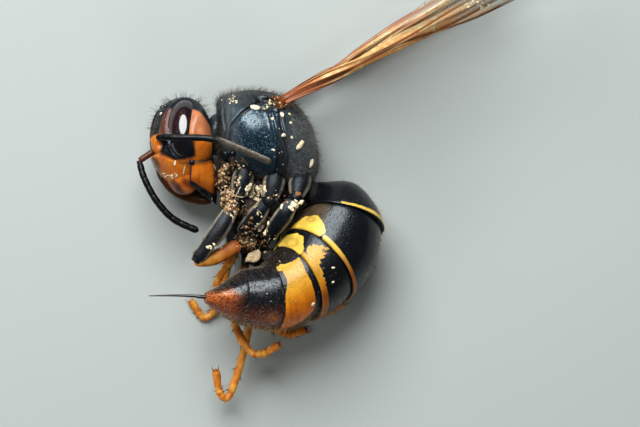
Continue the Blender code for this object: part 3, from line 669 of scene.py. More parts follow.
def makeGasterFinish():
    made, tree, shader = newMaterial("bandedCuticle")
    edgeNoise = noiseAt(tree, 14.0, 3.0)
    inside = compute(
        tree, "ADD", field(tree, "yellow"), compute(tree, "MULTIPLY_ADD", edgeNoise, 0.08, -0.04),
    )
    mask = remap(tree, inside, -0.015, 0.03)
    dark = tint(tree, gaster["black"], "brown", gaster["brown"])
    dark = tint(tree, dark, "ruddy", gaster["chestnut"], remap(tree, edgeNoise, 0.25, 0.6, 0.35, 1.0))
    # painted glow on the tip's top
    dark = tint(tree, dark, "glow", gaster["ember"], remap(tree, edgeNoise, 0.3, 0.55, 0.5, 1.0))
    # painted highlight along the second plate's edge ridge
    dark = tint(tree, dark, "paleLine", gaster["pale"], 0.6)
    ripe = compute(tree, "SUBTRACT", field(tree, "orange"), 0.25)
    ripe = compute(tree, "MULTIPLY_ADD", noiseAt(tree, 1.6, 3.0), 0.5, ripe)
    warm = mixColour(tree, remap(tree, ripe, 0.05, 0.95), gaster["yellow"], gaster["orange"])
    warm = tint(tree, warm, "golden", gaster["golden"])
    warm = tint(tree, warm, "rust", gaster["rust"])
    warm = tint(tree, warm, "spot", gaster["ochre"], 0.75)
    rough = field(tree, "rough")
    look = {
        "pitSize": remap(tree, rough, 0.1, 1.0, 0.10, 0.125),
        "pitDepth": remap(tree, rough, 0.1, 1.0, 0.25, 3.2),
        "wrinkleSize": 0.12,
        "wrinkleDepth": 0.5,
        "mottle": 0.28,
        "film": 0.008,
        "specks": 0.08,
        "roughness": 0.30,
        "specular": 0.42,
        "sheen": (0.85, 0.94, 1.0),
        "bump": 0.026,
        "coat": multiply(
            tree, remap(tree, rough, 0.1, 1.0, 0.15, 0.30), remap(tree, mask, 0.0, 1.0, 1.0, 0.15),
        ),
        "coatRoughness": 0.16,
    }
    finishCuticle(tree, shader, mixColour(tree, mask, dark, warm), look)
    return made


gasterFinish = makeGasterFinish()
gasterGrid, gasterTwin, gasterShare, gasterNumber, gasterFold = buildGaster()
gasterFields = gasterMarks(gasterGrid, gasterTwin, gasterShare, gasterNumber, gasterFold)
addPiece(
    "gasterSkin",
    *closed(gasterGrid),
    gasterFinish,
    "banded_cuticle",
    tuple(f"gaster_{i}" for i in range(1, 7)),
    gasterFields,
    smoothAngle=50,
)
print("gaster done")


# Head: its own left, top and front directions
head = {
    "halfWidth": 2.3,
    "halfHeight": 2.2,
    "halfDepth": 1.49,
    "napeDepth": 1.27,
    "yaw": math.radians(20),
    "pitch": math.radians(8),
    "centre": np.array((-4.2, 2.82, midHeight - 0.09)),
    "rows": 170,
    "columns": 240,
    "orange": (0.56, 0.150, 0.012),
    "black": (0.005, 0.007, 0.012),
    "ruddy": (0.075, 0.013, 0.007),
    # salmon: painted pinkish sheen on the upper cheek
    "salmon": (0.47, 0.20, 0.11),
    # amber: dark amber for painted shade on the face, jaws and lip, and the own brown of small knobs and
    # wing bases
    "amber": (0.042, 0.016, 0.004),
}
eye = {
    "middle": (1.28, 0.60, 0.325),  # left, top, front
    "facing": math.radians(43),  # from straight left towards the front
    "reach": (0.90, 1.42, 0.855),  # outward, up, along
    "slope": 0.25,  # how far the lower end stands out
    "notch": 0.42,
    "colour": (0.006, 0.002, 0.005),
}


def headAxes():
    c, s = math.cos(head["pitch"]), math.sin(head["pitch"])
    top = np.array((-s, c, 0.0))
    level = np.array((-c, -s, 0.0))
    up = np.array((0.0, 0.0, 1.0))
    front = level * math.cos(head["yaw"]) + up * math.sin(head["yaw"])
    left = up * math.cos(head["yaw"]) - level * math.sin(head["yaw"])
    return np.array((left, top, front))


headWays = headAxes()


def headPlace(local):  # from left, top, front to the maker's own X, Y, Z
    return head["centre"] + np.asarray(local, float) @ headWays


def clypeusEdge(left, top):  # distance inside the face plate's edge
    side = 1.60 - 0.30 * softStep(-top, 1.2, 2.1) - np.abs(left)
    upper = -0.36 - 0.50 * softStep(np.abs(left), 0.7, 1.7) - top
    tooth = 0.10 * hump(np.abs(left), 0.42, 0.16)
    lower = top + 2.02 + tooth
    return np.minimum(np.minimum(side, upper), lower)


def headShell(a, b, c):
    width = head["halfWidth"] * (1 - 0.16 * softStep(-b, 0.1, 1.0))
    left, top = a * width, b * head["halfHeight"]
    depth = np.where(c > 0, head["halfDepth"], head["napeDepth"])
    front = c * depth
    ahead = softStep(c, 0.0, 0.25)
    inside = clypeusEdge(left, top)
    front = front + ahead * 0.24 * softStep(inside, -0.05, 0.22)
    front -= ahead * 0.07 * hump(inside, 0, 0.045)
    front += ahead * 0.20 * hump(left, 0, 0.42) * hump(top, 0.25, 0.75)
    socket = np.hypot(np.abs(left) - 0.62, top - 0.02)
    front -= ahead * 0.26 * np.exp(-((socket / 0.20) ** 4))
    front += ahead * 0.07 * hump(socket, 0.27, 0.06)
    front -= ahead * 0.05 * hump(left, 0, 0.05) * softStep(top, 0.3, 0.6) * softStep(1.6 - top, 0, 0.3)
    front += ahead * 0.10 * hump(left, 0, 0.45) * hump(top, 1.75, 0.30)
    front = np.where(c > 0, front, np.maximum(front, -1.0 - 0.06 * np.abs(c)))
    return left, top, front


def eyeShell(u, v, w, side, grow=0.0):  # outward, up, along
    reach = np.array(eye["reach"]) + grow
    notch = eye["notch"] * hump(v, -0.15, 0.24) * hump(w, 0.95, 0.42)
    out, up, along = u * reach[0], v * reach[1], w * reach[2] * (1 - notch)
    out = out - eye["slope"] * up
    c, s = math.cos(eye["facing"]), math.sin(eye["facing"])
    left = eye["middle"][0] + out * c - along * s
    front = eye["middle"][2] + out * s + along * c
    return side * left, eye["middle"][1] + up, front


def ballGrid(rows, columns):  # directions over a ball, poles at the second axis
    polar = np.linspace(0.004, math.pi - 0.004, rows)
    turn = np.linspace(0, 2 * math.pi, columns, endpoint=False)
    p, k = np.meshgrid(polar, turn, indexing="ij")
    return np.sin(p) * np.cos(k), np.cos(p), np.sin(p) * np.sin(k)


def eyeDepth(left, top, front):  # how far inside the eye's own ball a point is, 1 at its surface
    c, s = math.cos(eye["facing"]), math.sin(eye["facing"])
    dl, dt, df = np.abs(left) - eye["middle"][0], top - eye["middle"][1], front - eye["middle"][2]
    out, along = dl * c + df * s + eye["slope"] * dt, -dl * s + df * c
    reach = eye["reach"]
    return np.sqrt((out / reach[0]) ** 2 + (dt / reach[1]) ** 2 + (along / reach[2]) ** 2)


# Marks of the face and cheek, in X and Y as the left half shows them. The rim mark is painted shade along
# the face's far edge, the sinus mark a painted shadow of the feeler.
headMarks = {
    "crown": [
        (-6.34, 5.6), (-3.4, 5.6), (-2.68, 4.88), (-2.34, 3.17), (-2.63, 2.44), (-2.78, 2.98),
        (-2.88, 3.32), (-3.07, 3.66), (-3.37, 4.05), (-3.76, 4.39), (-4.30, 4.10), (-4.80, 4.40),
        (-4.92, 4.40), (-5.12, 4.24), (-5.32, 3.90), (-5.37, 3.51), (-5.37, 3.22), (-5.56, 3.17),
        (-5.80, 3.07), (-6.34, 3.07),
    ],
    "orbit": [
        (-4.70, 4.40), (-4.92, 4.42), (-5.12, 4.24), (-5.32, 3.90), (-5.37, 3.15), (-4.80, 3.15),
        (-4.72, 3.90),
    ],
    # sinus: painted shadow of the feeler over the eye's notch
    "sinus": [
        (-5.37, 2.88), (-5.12, 2.98), (-4.60, 3.12), (-3.66, 3.02), (-3.58, 2.12), (-4.15, 1.94),
        (-4.59, 1.98), (-4.98, 2.10), (-5.34, 2.22),
    ],
    # rim: painted shade along the face's far edge
    "rim": [
        (-6.1, 2.05), (-5.56, 2.10), (-5.41, 1.71), (-5.27, 1.12), (-4.88, 0.73), (-4.39, 0.49),
        (-3.90, 0.44), (-3.90, -0.1), (-5.2, -0.1), (-6.1, 1.0),
    ],
}


def buildHead():
    a, b, c = ballGrid(head["rows"], head["columns"])
    left, top, front = headShell(a, b, c)
    near = eyeDepth(left, top, front)
    out = unit(np.stack([a / 2.3, b / 2.2, c / 1.45], -1))
    local = np.stack([left, top, front], -1)
    rim = (0.06 + 0.07 * softStep(front, 0.4, 0.9)) * hump(near, 1.08, 0.07)
    cheek = softStep(np.abs(left), 1.5, 1.9) * softStep(0.1 - front, 0, 0.5) * hump(top, 0.2, 1.2)
    rear = hump(front, -0.86, 0.07) * softStep(1.9 - np.abs(top), 0, 0.5)
    nape = 0.13 * hump(top, 1.30, 0.75) * softStep(-front, -0.3, 0.35)
    lift = rim + nape + 0.06 * cheek - 0.05 * rear - 0.14 * softStep(1.0 - near, 0.0, 0.12)
    local = local + out * lift[..., None]
    points = headPlace(local)
    relief = 0.012 * waves(points, 3.5, 41) + 0.005 * waves(points, 10, 42)
    points += unit(points - head["centre"]) * relief[..., None]
    points = onFloor(points)
    twin = headPlace(np.stack([np.abs(left), top, front], -1))  # the same place on the left half
    x, y = twin[..., 0], twin[..., 1]
    rough = 0.035 * waves(points, 7.0, 43)

    def inside(name, soft=0.05):
        return softStep(insideShape(x, y, headMarks[name]) + rough, -soft, soft)

    ahead = softStep(c, 0.0, 0.25)
    black = np.maximum(inside("crown"), softStep(-0.80 - front, 0.0, 0.12))
    # the eye's notch under the feeler is painted black: a painted shadow of the feeler
    black = np.maximum(black, inside("sinus", 0.10) * softStep(np.abs(left), 0.3, 0.6))
    brow = softStep(left + 1.0, 0.0, 0.15) * softStep(-left, 0.0, 0.1) * softStep(top, 0.35, 0.55)
    black = np.maximum(black, brow * ahead)
    edge = clypeusEdge(left, top)
    seam = hump(edge, 0, 0.035) * ahead
    malar = hump(top, -1.12, 0.10) * softStep(np.abs(left), 1.62, 1.75) * softStep(front + 0.3, 0, 0.3)
    black = clamp(np.maximum.reduce([black, 0.85 * malar, 0.35 * seam]))
    # amber here is painted shade: the face's dark far edge, its lower rim, and the lower face's right half,
    # which is orange on the animal
    amber = np.maximum(inside("rim", 0.12), softStep(-1.78 - top, 0.0, 0.16) * ahead)
    amber = np.maximum(amber, softStep(-0.12 - left, 0.0, 0.15) * softStep(-0.3 - top, 0.0, 0.4) * ahead)
    ruddy = clamp(0.95 * inside("orbit"))
    x, y = points[..., 0], points[..., 1]
    # painted sheen: the upper cheek lightened to a pinkish tone where light glances off it
    salmon = 0.75 * softStep(x, -4.05, -3.75) * softStep(y + 0.25 * x, 2.0, 2.5)
    return points, {"black": black, "ruddy": ruddy, "amber": clamp(0.9 * amber), "salmon": salmon}


def makeFaceFinish():
    made, tree, shader = newMaterial("faceCuticle")
    noise = noiseAt(tree, 2.2, 5.0)
    warm = mixColour(tree, remap(tree, noise, 0.35, 0.7, 0.0, 0.5), head["orange"], (0.70, 0.25, 0.02))
    warm = mixColour(tree, field(tree, "ruddy"), warm, head["ruddy"])
    # amber: painted shade on the face, jaws and lip, the own dark brown on knobs and wing bases
    warm = mixColour(tree, field(tree, "amber"), warm, head["amber"])
    # painted sheen on the upper cheek
    warm = mixColour(tree, field(tree, "salmon"), warm, head["salmon"])
    base = mixColour(tree, field(tree, "black"), warm, head["black"])
    look = {
        "pitSize": 0.14,
        "pitDepth": 0.30,
        "wrinkleSize": 0.2,
        "wrinkleDepth": 0.5,
        "mottle": 0.20,
        "film": 0.01,
        "specks": 0.06,
        "roughness": 0.30,
        "specular": 0.42,
        "sheen": (0.85, 0.94, 1.0),
        "bump": 0.02,
        "coat": field(tree, "wet"),
        "coatRoughness": 0.15,
    }
    finishCuticle(tree, shader, base, look)
    return made


def makeEyeFinish():
    made, tree, shader = newMaterial("compoundEye")
    facets = cellsAt(tree, 34.0, "DISTANCE_TO_EDGE")
    cloud = noiseAt(tree, 1.1, 3.0)
    # painted shade: the eye is mottled lighter and reddish above, its lower lobe under the feeler left
    # near-black
    shade = multiply(tree, remap(tree, cloud, 0.35, 0.65), field(tree, "upper"))
    base = mixColour(tree, shade, eye["colour"], (0.022, 0.004, 0.006))
    tree.links.new(base, shader.inputs["Base Color"])
    shader.inputs["Roughness"].default_value = 0.10
    shader.inputs["Coat Weight"].default_value = 1.0
    shader.inputs["Specular IOR Level"].default_value = 0.55
    shader.inputs["Coat Roughness"].default_value = 0.03
    height = remap(tree, facets["Distance"], 0.0, 0.012)
    tree.links.new(bumpFrom(tree, height, 0.002), shader.inputs["Normal"])
    return made


faceFinish = makeFaceFinish()
eyeFinish = makeEyeFinish()
headGrid, headFields = buildHead()
addPiece("headSkin", *closed(headGrid), faceFinish, "face_cuticle", ("head",), headFields)
for eyeName, eyeSide in (("eye_left", 1), ("eye_right", -1)):
    ways = ballGrid(70, 96)
    grid = headPlace(np.stack(eyeShell(*ways, eyeSide), -1))
    grid = onFloor(grid)
    # upper: where the eye is painted lighter; the lower lobe stays dark as painted shade
    upper = {"upper": softStep(ways[1], -0.45, 0.15)}
    addPiece(eyeName.replace("_", ".") + ".glossy", *closed(grid), eyeFinish, "eye", (eyeName,), upper)
ocelli = []
for left, top, front in ((0.0, 1.66, 1.02), (0.27, 1.87, 0.80), (-0.27, 1.87, 0.80)):
    ball = np.stack(ballGrid(14, 20), -1) * 0.115
    ocelli.append((headPlace((left, top, front)) + ball, tubeFaces(14, 20)))
addPiece("ocelli", *gather(ocelli), eyeFinish, "eye")
print("head done")


def lowered(point, rise):
    return (point[0], point[1], midHeight + rise)


def risen(*places):  # X, Y and height over the middle plane of each
    return [lowered(p[:2], p[2]) for p in places]


# Jaws: broad plates with a black toothed edge
jaw = {
    "run": [(1.72, -1.00, -0.20), (1.63, -1.55, -0.21), (1.41, -2.10, -0.21), (1.13, -2.68, -0.21)],
    "halfBreadth": [0.60, 0.67, 0.71, 0.69],
    "halfThickness": [0.30, 0.26, 0.19, 0.07],
    "slant": 0.64,  # the rear corner reaches further than the front one
    "teeth": 3,
    "toothDepth": 0.05,
}


def buildJaw(side):
    rows, columns = 60, 96
    s = np.linspace(0, 1, rows)
    run = curveAt(jaw["run"], s)
    breadth = curveAt(np.array(jaw["halfBreadth"])[:, None], s)[:, 0]
    thick = curveAt(np.array(jaw["halfThickness"])[:, None], s)[:, 0]
    along = unit(np.gradient(run, axis=0))
    frontWay = unit(np.array((0.0, 0.0, 1.0)) - along * along[:, 2:3])
    outWay = np.cross(frontWay, along)
    angle = np.linspace(0, 2 * math.pi, columns, endpoint=False)
    c, q = np.cos(angle), np.sin(angle)
    across = np.sign(c) * np.abs(c) ** 0.8
    face = np.sign(q) * np.abs(q) ** 0.9
    ss, cc = np.meshgrid(s, across, indexing="ij")
    reach = (jaw["slant"] if side > 0 else 0.1) * -cc * softStep(ss, 0.2, 1.0)
    tooth = 0.5 - 0.5 * np.cos(2 * math.pi * jaw["teeth"] * (cc * 0.5 + 0.5))
    tooth = jaw["toothDepth"] * tooth * softStep(ss, 0.75, 1.0)
    local = run[:, None] + frontWay[:, None] * (breadth[:, None] * across)[..., None]
    local = local + outWay[:, None] * (thick[:, None] * face * np.ones_like(cc))[..., None]
    local = local + along[:, None] * (reach - tooth)[..., None]
    groove = hump(cc, 0.35, 0.10) * hump(ss, 0.5, 0.3) * np.maximum(np.sin(angle), 0)
    local = local - outWay[:, None] * (0.04 * groove)[..., None]
    local = local * np.array((side, 1, 1))
    points = headPlace(local)
    points = onFloor(points)
    black = np.maximum(softStep(ss, 0.76, 0.83), softStep(np.abs(cc), 0.90, 0.985) * softStep(ss, 0.0, 0.2))
    black = np.maximum(black, softStep(0.05 - ss, 0, 0.04))
    if side < 0:
        black = softStep(ss, 0.90, 0.96)
    amber = 0.25 * softStep(ss, 0.45, 0.8) + 0.95 * softStep(-cc, 0.48, 0.86) + 0.5 * softStep(
        0.16 - ss, 0, 0.1,
    )
    # the far jaw is painted dark amber all over: painted shade
    if side < 0:
        amber = np.full(ss.shape, 0.9)
    fields = {
        "black": clamp(black), "wet": clamp(black), "ruddy": 0.35 * softStep(ss, 0.45, 0.8),
        "amber": clamp(amber),
    }
    return points, fields


for jawName, jawSide in (("mandible_left", 1), ("mandible_right", -1)):
    grid, jawFields = buildJaw(jawSide)
    faces = tubeFaces(*grid.shape[:2])
    if jawSide < 0:
        faces = [f[::-1] for f in faces]
    addPiece(
        jawName.replace("_", ".") + ".plate", grid, faces, faceFinish, "face_cuticle", (jawName,),
        jawFields,
    )
mouth = {"middle": (0.1, -1.60, 0.30), "halves": (1.25, 0.98, 0.81)}  # the folded parts between the jaws
bulb = np.stack(ballGrid(40, 60), -1)
bulb = bulb * (1 + 0.015 * waves(bulb, 2.0, 77) + 0.012 * waves(bulb, 7.0, 78))[..., None]
bulb = headPlace(bulb * np.array(mouth["halves"]) + np.array(mouth["middle"]))
bulbShade = softStep(0.35 - bulb[..., 1] - 0.45 * (bulb[..., 0] + 4.3), -0.20, 0.30)
blotch = softStep(waves(bulb, 5.0, 79), 0.1, 0.9)
bulbFields = {
    "black": 0.40 * blotch, "ruddy": 0.8 * softStep(waves(bulb, 8.0, 83), -0.2, 0.6),
    "amber": clamp(bulbShade + 0.3 * blotch),
}
addPiece("faceTip", bulb, tubeFaces(40, 60), faceFinish, "face_cuticle", (), bulbFields)
# a strip of the mouth between face and jaws, coloured dark amber as painted shade
lips = [
    (-5.56, 1.76), (-5.30, 1.24), (-4.93, 0.77), (-4.45, 0.40), (-3.93, 0.17), (-3.38, 0.00),
    (-2.92, -0.02),
]
lipPath = curveAt(
    [lowered(p, h) for p, h in zip(lips, (-0.45, -0.40, -0.35, -0.35, -0.30, -0.25, -0.15))],
    np.linspace(0, 1, 90),
)
lipRadii = 0.06 + 0.26 * np.sin(math.pi * clamp(np.linspace(0.02, 0.98, 90))) ** 0.5
points, faces = rod(lipPath, lipRadii, 18, 0.75, lambda p: 0.012 * waves(p, 6.0, 81))
streak = softStep(waves(points, 8.0, 82), 0.2, 1.0)
# amber: painted shade, with dark streaks
lipFields = {"black": 0.45 * streak, "amber": 0.93}
addPiece("farLip", points, faces, faceFinish, "face_cuticle", (), lipFields)
joints = []
for side in (1, -1):
    ball = np.stack(ballGrid(16, 22), -1) * 0.15
    joints.append((headPlace((side * 1.84, -1.05, 0.36)) + ball, tubeFaces(16, 22)))
points, faces = gather(joints)
hingeFields = {"black": 1.0}
addPiece("jawHinges", points, faces, faceFinish, "face_cuticle", (), hingeFields)


# Feelers: root, small joint, then ten rings of the whip
feeler = {
    "rootRadius": 0.145,
    "whipRadius": 0.165,
    "tipRadius": 0.175,
    "rings": 10,
    "black": (0.0035, 0.0035, 0.0045),
    "worn": (0.085, 0.070, 0.055),
    # pale: colour of the painted highlight on the whip's upper side
    "pale": (0.34, 0.29, 0.22),
    "brown": (0.11, 0.030, 0.012),
}


feelerPaths = {
    "left": {
        "socket": headPlace((0.62, 0.02, 1.12)),
        "bend": headPlace((0.62, 0.02, 1.12)) + np.array((-0.10, 0.10, 0.75)),
        "elbow": np.array(lowered((-5.35, 3.02), 2.70)),
        "whip": risen(
            (-5.35, 3.02, 2.70), (-4.40, 3.00, 3.10), (-2.75, 2.92, 3.22), (-1.45, 2.45, 3.15),
            (0.12, 1.78, 3.00),
        ),
    },
    "right": {
        "socket": headPlace((-0.62, 0.02, 1.12)),
        "bend": np.array(lowered((-5.85, 2.30), 0.0)),
        "elbow": np.array(lowered((-6.42, 1.92), 0.05)),
        "whip": risen(
            (-6.42, 1.92, 0.05), (-6.15, 1.05, 0.22), (-5.55, -0.05, 0.28), (-4.70, -0.95, 0.18),
            (-3.50, -1.53, 0.05),
        ),
    },
}


def buildFeeler(name):
    path = feelerPaths[name]
    root = curveAt(
        [path["socket"], (path["socket"] + path["bend"]) / 2, path["bend"], path["elbow"]],
        np.linspace(0, 0.99, 30),
    )
    swell = np.linspace(0, 1, 30)
    rootRadii = 0.62 + 0.45 * softStep(swell, 0.02, 0.25) - 0.16 * softStep(swell, 0.93, 1.0)
    rootRadii = feeler["rootRadius"] * rootRadii
    parts = [rod(root, rootRadii, 20)]
    kinds = [np.zeros(30 * 20)]
    s = np.linspace(0, 1, 150)
    whip = curveAt(path["whip"], s)
    share = s * (feeler["rings"] + 0.6)
    inRing = np.where(share < 0.6, share / 0.6, (share - 0.6) % 1.0)
    radii = feeler["whipRadius"] + (feeler["tipRadius"] - feeler["whipRadius"]) * softStep(s, 0.3, 0.8)
    radii = radii * (0.86 + 0.14 * np.sqrt(clamp(1 - (2 * inRing - 1) ** 4)))
    radii = radii * np.where(share < 0.6, 0.85, 1.0)
    radii *= np.sqrt(np.clip(1 - softStep(s, 0.955, 1.0) ** 2, 0.02, 1))
    flat = 1 - 0.45 * softStep(s, 0.50, 0.62) if name == "left" else np.ones_like(s)
    parts.append(rod(whip, radii, 20, flat))
    kinds.append(np.repeat(s, 20))
    points, faces = gather(parts)
    worn = softStep(np.concatenate(kinds), 0.52, 0.62) if name == "left" else np.zeros(len(points))
    middles = np.repeat(np.concatenate([root, whip]), 20, 0)
    # painted highlight: the side of the worn half facing the key light is painted pale
    edge = worn * softStep(points[:, 1] - middles[:, 1], 0.06, 0.13)
    isRoot = np.concatenate([np.ones(600), np.zeros(len(points) - 600)])
    return points, faces, {"worn": worn, "root": isRoot, "edge": edge}


def makeFeelerFinish(name, brownRoot):
    made, tree, shader = newMaterial(name)
    noise = noiseAt(tree, 6.0, 5.0)
    worn = multiply(tree, field(tree, "worn"), remap(tree, noise, 0.25, 0.6, 0.45, 1.0))
    base = mixColour(tree, worn, feeler["black"], feeler["worn"])
    # painted highlight along the whip's upper side
    base = mixColour(tree, multiply(tree, field(tree, "edge"), 0.75), base, feeler["pale"])
    if brownRoot:
        base = mixColour(tree, field(tree, "root"), base, feeler["brown"])
    look = {
        "pitSize": 0.05,
        "pitDepth": 0.5,
        "wrinkleSize": 0.08,
        "wrinkleDepth": 0.8,
        "mottle": 0.3,
        "film": 0.01,
        "specks": 0.10,
        "roughness": 0.36,
        "specular": 0.35,
        "bump": 0.012,
    }
    finishCuticle(tree, shader, base, look)
    return made


for feelerSide in ("left", "right"):
    points, faces, feelerFields = buildFeeler(feelerSide)
    finish = makeFeelerFinish(f"{feelerSide}Feeler", feelerSide == "right")
    replaced = (f"scape_{feelerSide}", f"flagellum_{feelerSide}")
    addPiece(f"feeler.{feelerSide}", points, faces, finish, "black_cuticle", replaced, feelerFields)
print("jaws and feelers done")


# Legs: joints as X, Y and height over the middle plane, each length starting where the last one ends
legs = {
    "coxa": (0.44, 0.54, 0.36),
    "femur": (0.25, 0.44, 0.32),
    "tibia": (0.16, 0.24, 0.25),
    "tarsus": (0.225, 0.205, 0.215),
    "broadTibia": {"fore.left": 1.45},
    "footRings": (0.0, 0.44, 0.60, 0.72, 0.80, 1.0),
    "orange": (0.62, 0.20, 0.025),
    "yellow": (0.75, 0.38, 0.07),
    "black": (0.007, 0.009, 0.013),
    "flush": (0.30, 0.060, 0.018),
    "flushed": {"fore.left": (-1.50, -1.95, 1.15)},
    "dusty": (0.42, 0.38, 0.30),
}
legJoints = {
    "fore.left": [
        [(-1.15, 1.60, 1.15), (-1.52, 0.22, 1.45)],
        [(-2.35, -1.30, 1.85), (-3.62, -3.00, 1.85)],
        [(-2.70, -2.82, 1.40), (-1.55, -2.20, 0.95)],
        [(-1.90, -2.95, 0.55), (-2.60, -4.00, 0.20), (-2.45, -4.90, 0.05)],
    ],
    "mid.left": [
        [(0.35, 1.40, 1.25), (0.0, 0.0, 1.60)],
        [(-0.65, -0.75, 1.35), (-1.40, -1.60, 0.60)],
        [(-1.25, -3.00, -0.20), (-1.60, -4.95, -0.45)],
        [(-1.72, -6.10, -0.20), (-1.00, -7.38, 0.10), (-0.35, -7.50, 0.20), (0.40, -7.10, 0.20)],
    ],
    "hind.left": [
        [(1.60, 1.40, 1.00), (1.30, 0.15, 1.70)],
        [(0.65, -0.80, 1.70), (-0.10, -1.85, 0.85)],
        [(-0.60, -3.10, -0.70), (-0.85, -5.25, -1.05)],
        [
            (-1.30, -7.40, -0.95), (-1.88, -9.30, -0.85), (-2.20, -9.76, -0.80),
            (-2.52, -9.40, -0.75), (-2.68, -8.42, -0.60),
        ],
    ],
    "fore.right": [
        [(-1.15, 1.60, -0.95), (-1.62, 0.22, -1.15)],
        [(-1.80, -1.00, -1.25), (-1.95, -2.60, -1.25)],
        [(-2.25, -3.60, -1.45), (-2.45, -4.70, -1.70)],
        [(-2.75, -5.45, -1.90), (-3.35, -5.82, -2.04), (-3.95, -5.05, -2.06)],
    ],
    "mid.right": [
        [(0.35, 1.40, -1.05), (-0.20, 0.0, -1.30)],
        [(-0.40, -1.20, -1.50), (-0.50, -2.80, -1.70)],
        [(-0.50, -4.00, -1.85), (-0.35, -5.45, -1.98)],
        [(0.05, -6.25, -2.04), (0.85, -6.65, -2.06), (1.70, -6.45, -2.06)],
    ],
    "hind.right": [
        [(1.55, 1.40, -0.80), (1.15, 0.15, -1.35)],
        [(0.85, -1.10, -1.65), (0.45, -2.45, -1.80)],
        [(0.45, -3.60, -1.95), (0.95, -4.85, -2.02)],
        [(1.75, -5.45, -2.06), (2.70, -5.55, -2.06), (3.55, -5.10, -2.06)],
    ],
}
# how orange each length is: at its start and at its end
legWarmth = {
    "fore.left": ((0, 0), (0, 0.15), (0.9, 0.95), (0.85, 1)),
    "mid.left": ((0, 0), (0, 0.1), (0.1, 0.6), (0.9, 1)),
    "hind.left": ((0, 0), (0, 0.1), (0.05, 0.3), (0.9, 1)),
    "fore.right": ((0, 0), (0, 0.2), (0.7, 0.9), (0.9, 1)),
    "mid.right": ((0, 0), (0, 0.1), (0.1, 0.5), (0.9, 1)),
    "hind.right": ((0, 0), (0, 0.1), (0.05, 0.4), (0.9, 1)),
}


legRuns = []  # middle line, radii and flatness of every length, for the hair


def nearFloor(points, radius):  # a leg thinner than its solid is let down onto the floor
    points = points.copy()
    sink = (0.24 - radius) * softStep(0.62 - points[:, 2], 0, 0.35)
    points[:, 2] = np.maximum(points[:, 2] - sink, radius * 0.97)
    return points


def spine(start, way, length, radius, bend=(0, 0, 0), sides=6, steps=8):
    s = np.linspace(0, 1, steps)[:, None]
    path = np.asarray(start) + np.asarray(way) * length * s + np.asarray(bend) * s**2
    return rod(path, radius * (1 - 0.93 * s[:, 0]) , sides)


def legPath(name):
    runs, previous = [], None
    for joints in legJoints[name]:
        run = [lowered(j[:2], j[2]) for j in joints]
        run = [previous] + run if previous is not None else run
        runs.append(np.array(run, float))
        previous = tuple(run[-1])
    return runs


def buildLegPart(kind, run, warmth, broad=1.0):
    steps = {"coxa": 22, "femur": 44, "tibia": 44, "tarsus": 110}[kind]
    s = np.linspace(0, 1, steps)
    path = curveAt(run, s)
    radii = curveAt(np.array(legs[kind])[:, None], s)[:, 0] * broad
    if kind == "tarsus":
        marks = np.array(legs["footRings"])
        ring = np.clip(np.searchsorted(marks, s, side="right") - 1, 0, 4)
        inRing = (s - marks[ring]) / (marks[ring + 1] - marks[ring])
        radii = radii * (0.66 + 0.34 * inRing**0.8) * np.where(inRing > 0.94, 0.9, 1.0)
    else:
        radii = radii * np.sqrt(clamp(1 - (1 - softStep(s, 0, 0.09)) ** 2 * 0.55))
        radii = radii * (1 - 0.22 * softStep(s, 0.93, 1.0))
    path = nearFloor(path, float(np.mean(radii)))
    flat = {"coxa": 0.80, "femur": 0.68, "tibia": 0.78, "tarsus": 0.9}[kind]
    seed = int(abs(run[0][0]) * 100) + 7
    points, faces = rod(
        path, radii, 22, flat,
        lambda p: 0.014 * waves(p, 4.0, seed) + 0.006 * waves(p, 13.0, seed + 1),
    )
    warm = warmth[0] + (warmth[1] - warmth[0]) * softStep(s, 0.3, 1.0)
    legRuns.append((path, radii, flat, warm))
    parts = [(points, faces)]
    warms = [np.repeat(warm, 22)]
    margin = softStep(np.abs(np.cos(np.linspace(0, 2 * math.pi, 22, endpoint=False))), 0.70, 0.93)
    edges = [np.tile(margin, steps) * np.repeat(softStep(s, 0.1, 0.3), 22)]
    along, across, up = frameAlong(path)
    end = path[-1]

    def addSpine(start, way, length, radius, warmHere, bend=(0, 0, 0)):
        piece = spine(start, way, length, radius, bend)
        parts.append(piece)
        warms.append(np.full(len(piece[0]), warmHere))

    if kind == "tibia":
        for side in (-0.6, 0.7):
            way = unit(along[-1] + across[-1] * side * 0.55 + up[-1] * 0.25)
            addSpine(end + across[-1] * side * 0.15, way, 0.46, 0.05, 0.35)
    if kind == "tarsus":
        for k in (1, 2, 3, 4):
            i = int(np.argmin(np.abs(s - legs["footRings"][k])))
            for side in (-1, -0.35, 0.35, 1):
                way = unit(along[i] + across[i] * side * 0.8 - up[i] * 0.3)
                addSpine(
                    path[i] + across[i] * side * 0.7 * radii[i], way, 0.30, 0.032,
                    0.45 + 0.4 * (k % 2),
                )
        for k, share in enumerate(np.linspace(0.06, 0.42, 9)):  # stiff spines along the first length
            i, side = int(share * (steps - 1)), (-1, 1, 1)[k % 3]
            way = unit(along[i] + across[i] * side * 0.85 + up[i] * 0.3)
            addSpine(
                path[i] + across[i] * side * 0.85 * radii[i], way, 0.30, 0.030,
                (0.0, 0.55, 0.15)[k % 3],
            )
        for side in (-1, 1):
            start = end - along[-1] * 0.05 + across[-1] * side * 0.06
            way = unit(along[-1] * 0.8 + across[-1] * side * 0.75)
            addSpine(start, way, 0.36, 0.05, 0.52, (along[-1] * 0.10 - across[-1] * side * 0.14))
        pad = np.stack(ballGrid(12, 16), -1) * np.array((0.11, 0.11, 0.08)) + end + along[-1] * 0.02
        parts.append((pad.reshape(-1, 3), tubeFaces(12, 16)))
        warms.append(np.full(12 * 16, 0.5))
    if kind == "femur":
        ball = np.stack(ballGrid(16, 22), -1) * 0.33 + path[0] + along[0] * 0.06
        parts.append((ball.reshape(-1, 3), tubeFaces(16, 22)))
        warms.append(np.zeros(16 * 22))
    points, faces = gather(parts)
    points = onFloor(points)
    edge = np.concatenate(edges + [np.zeros(len(points) - len(edges[0]))])
    return points, faces, np.concatenate(warms), edge


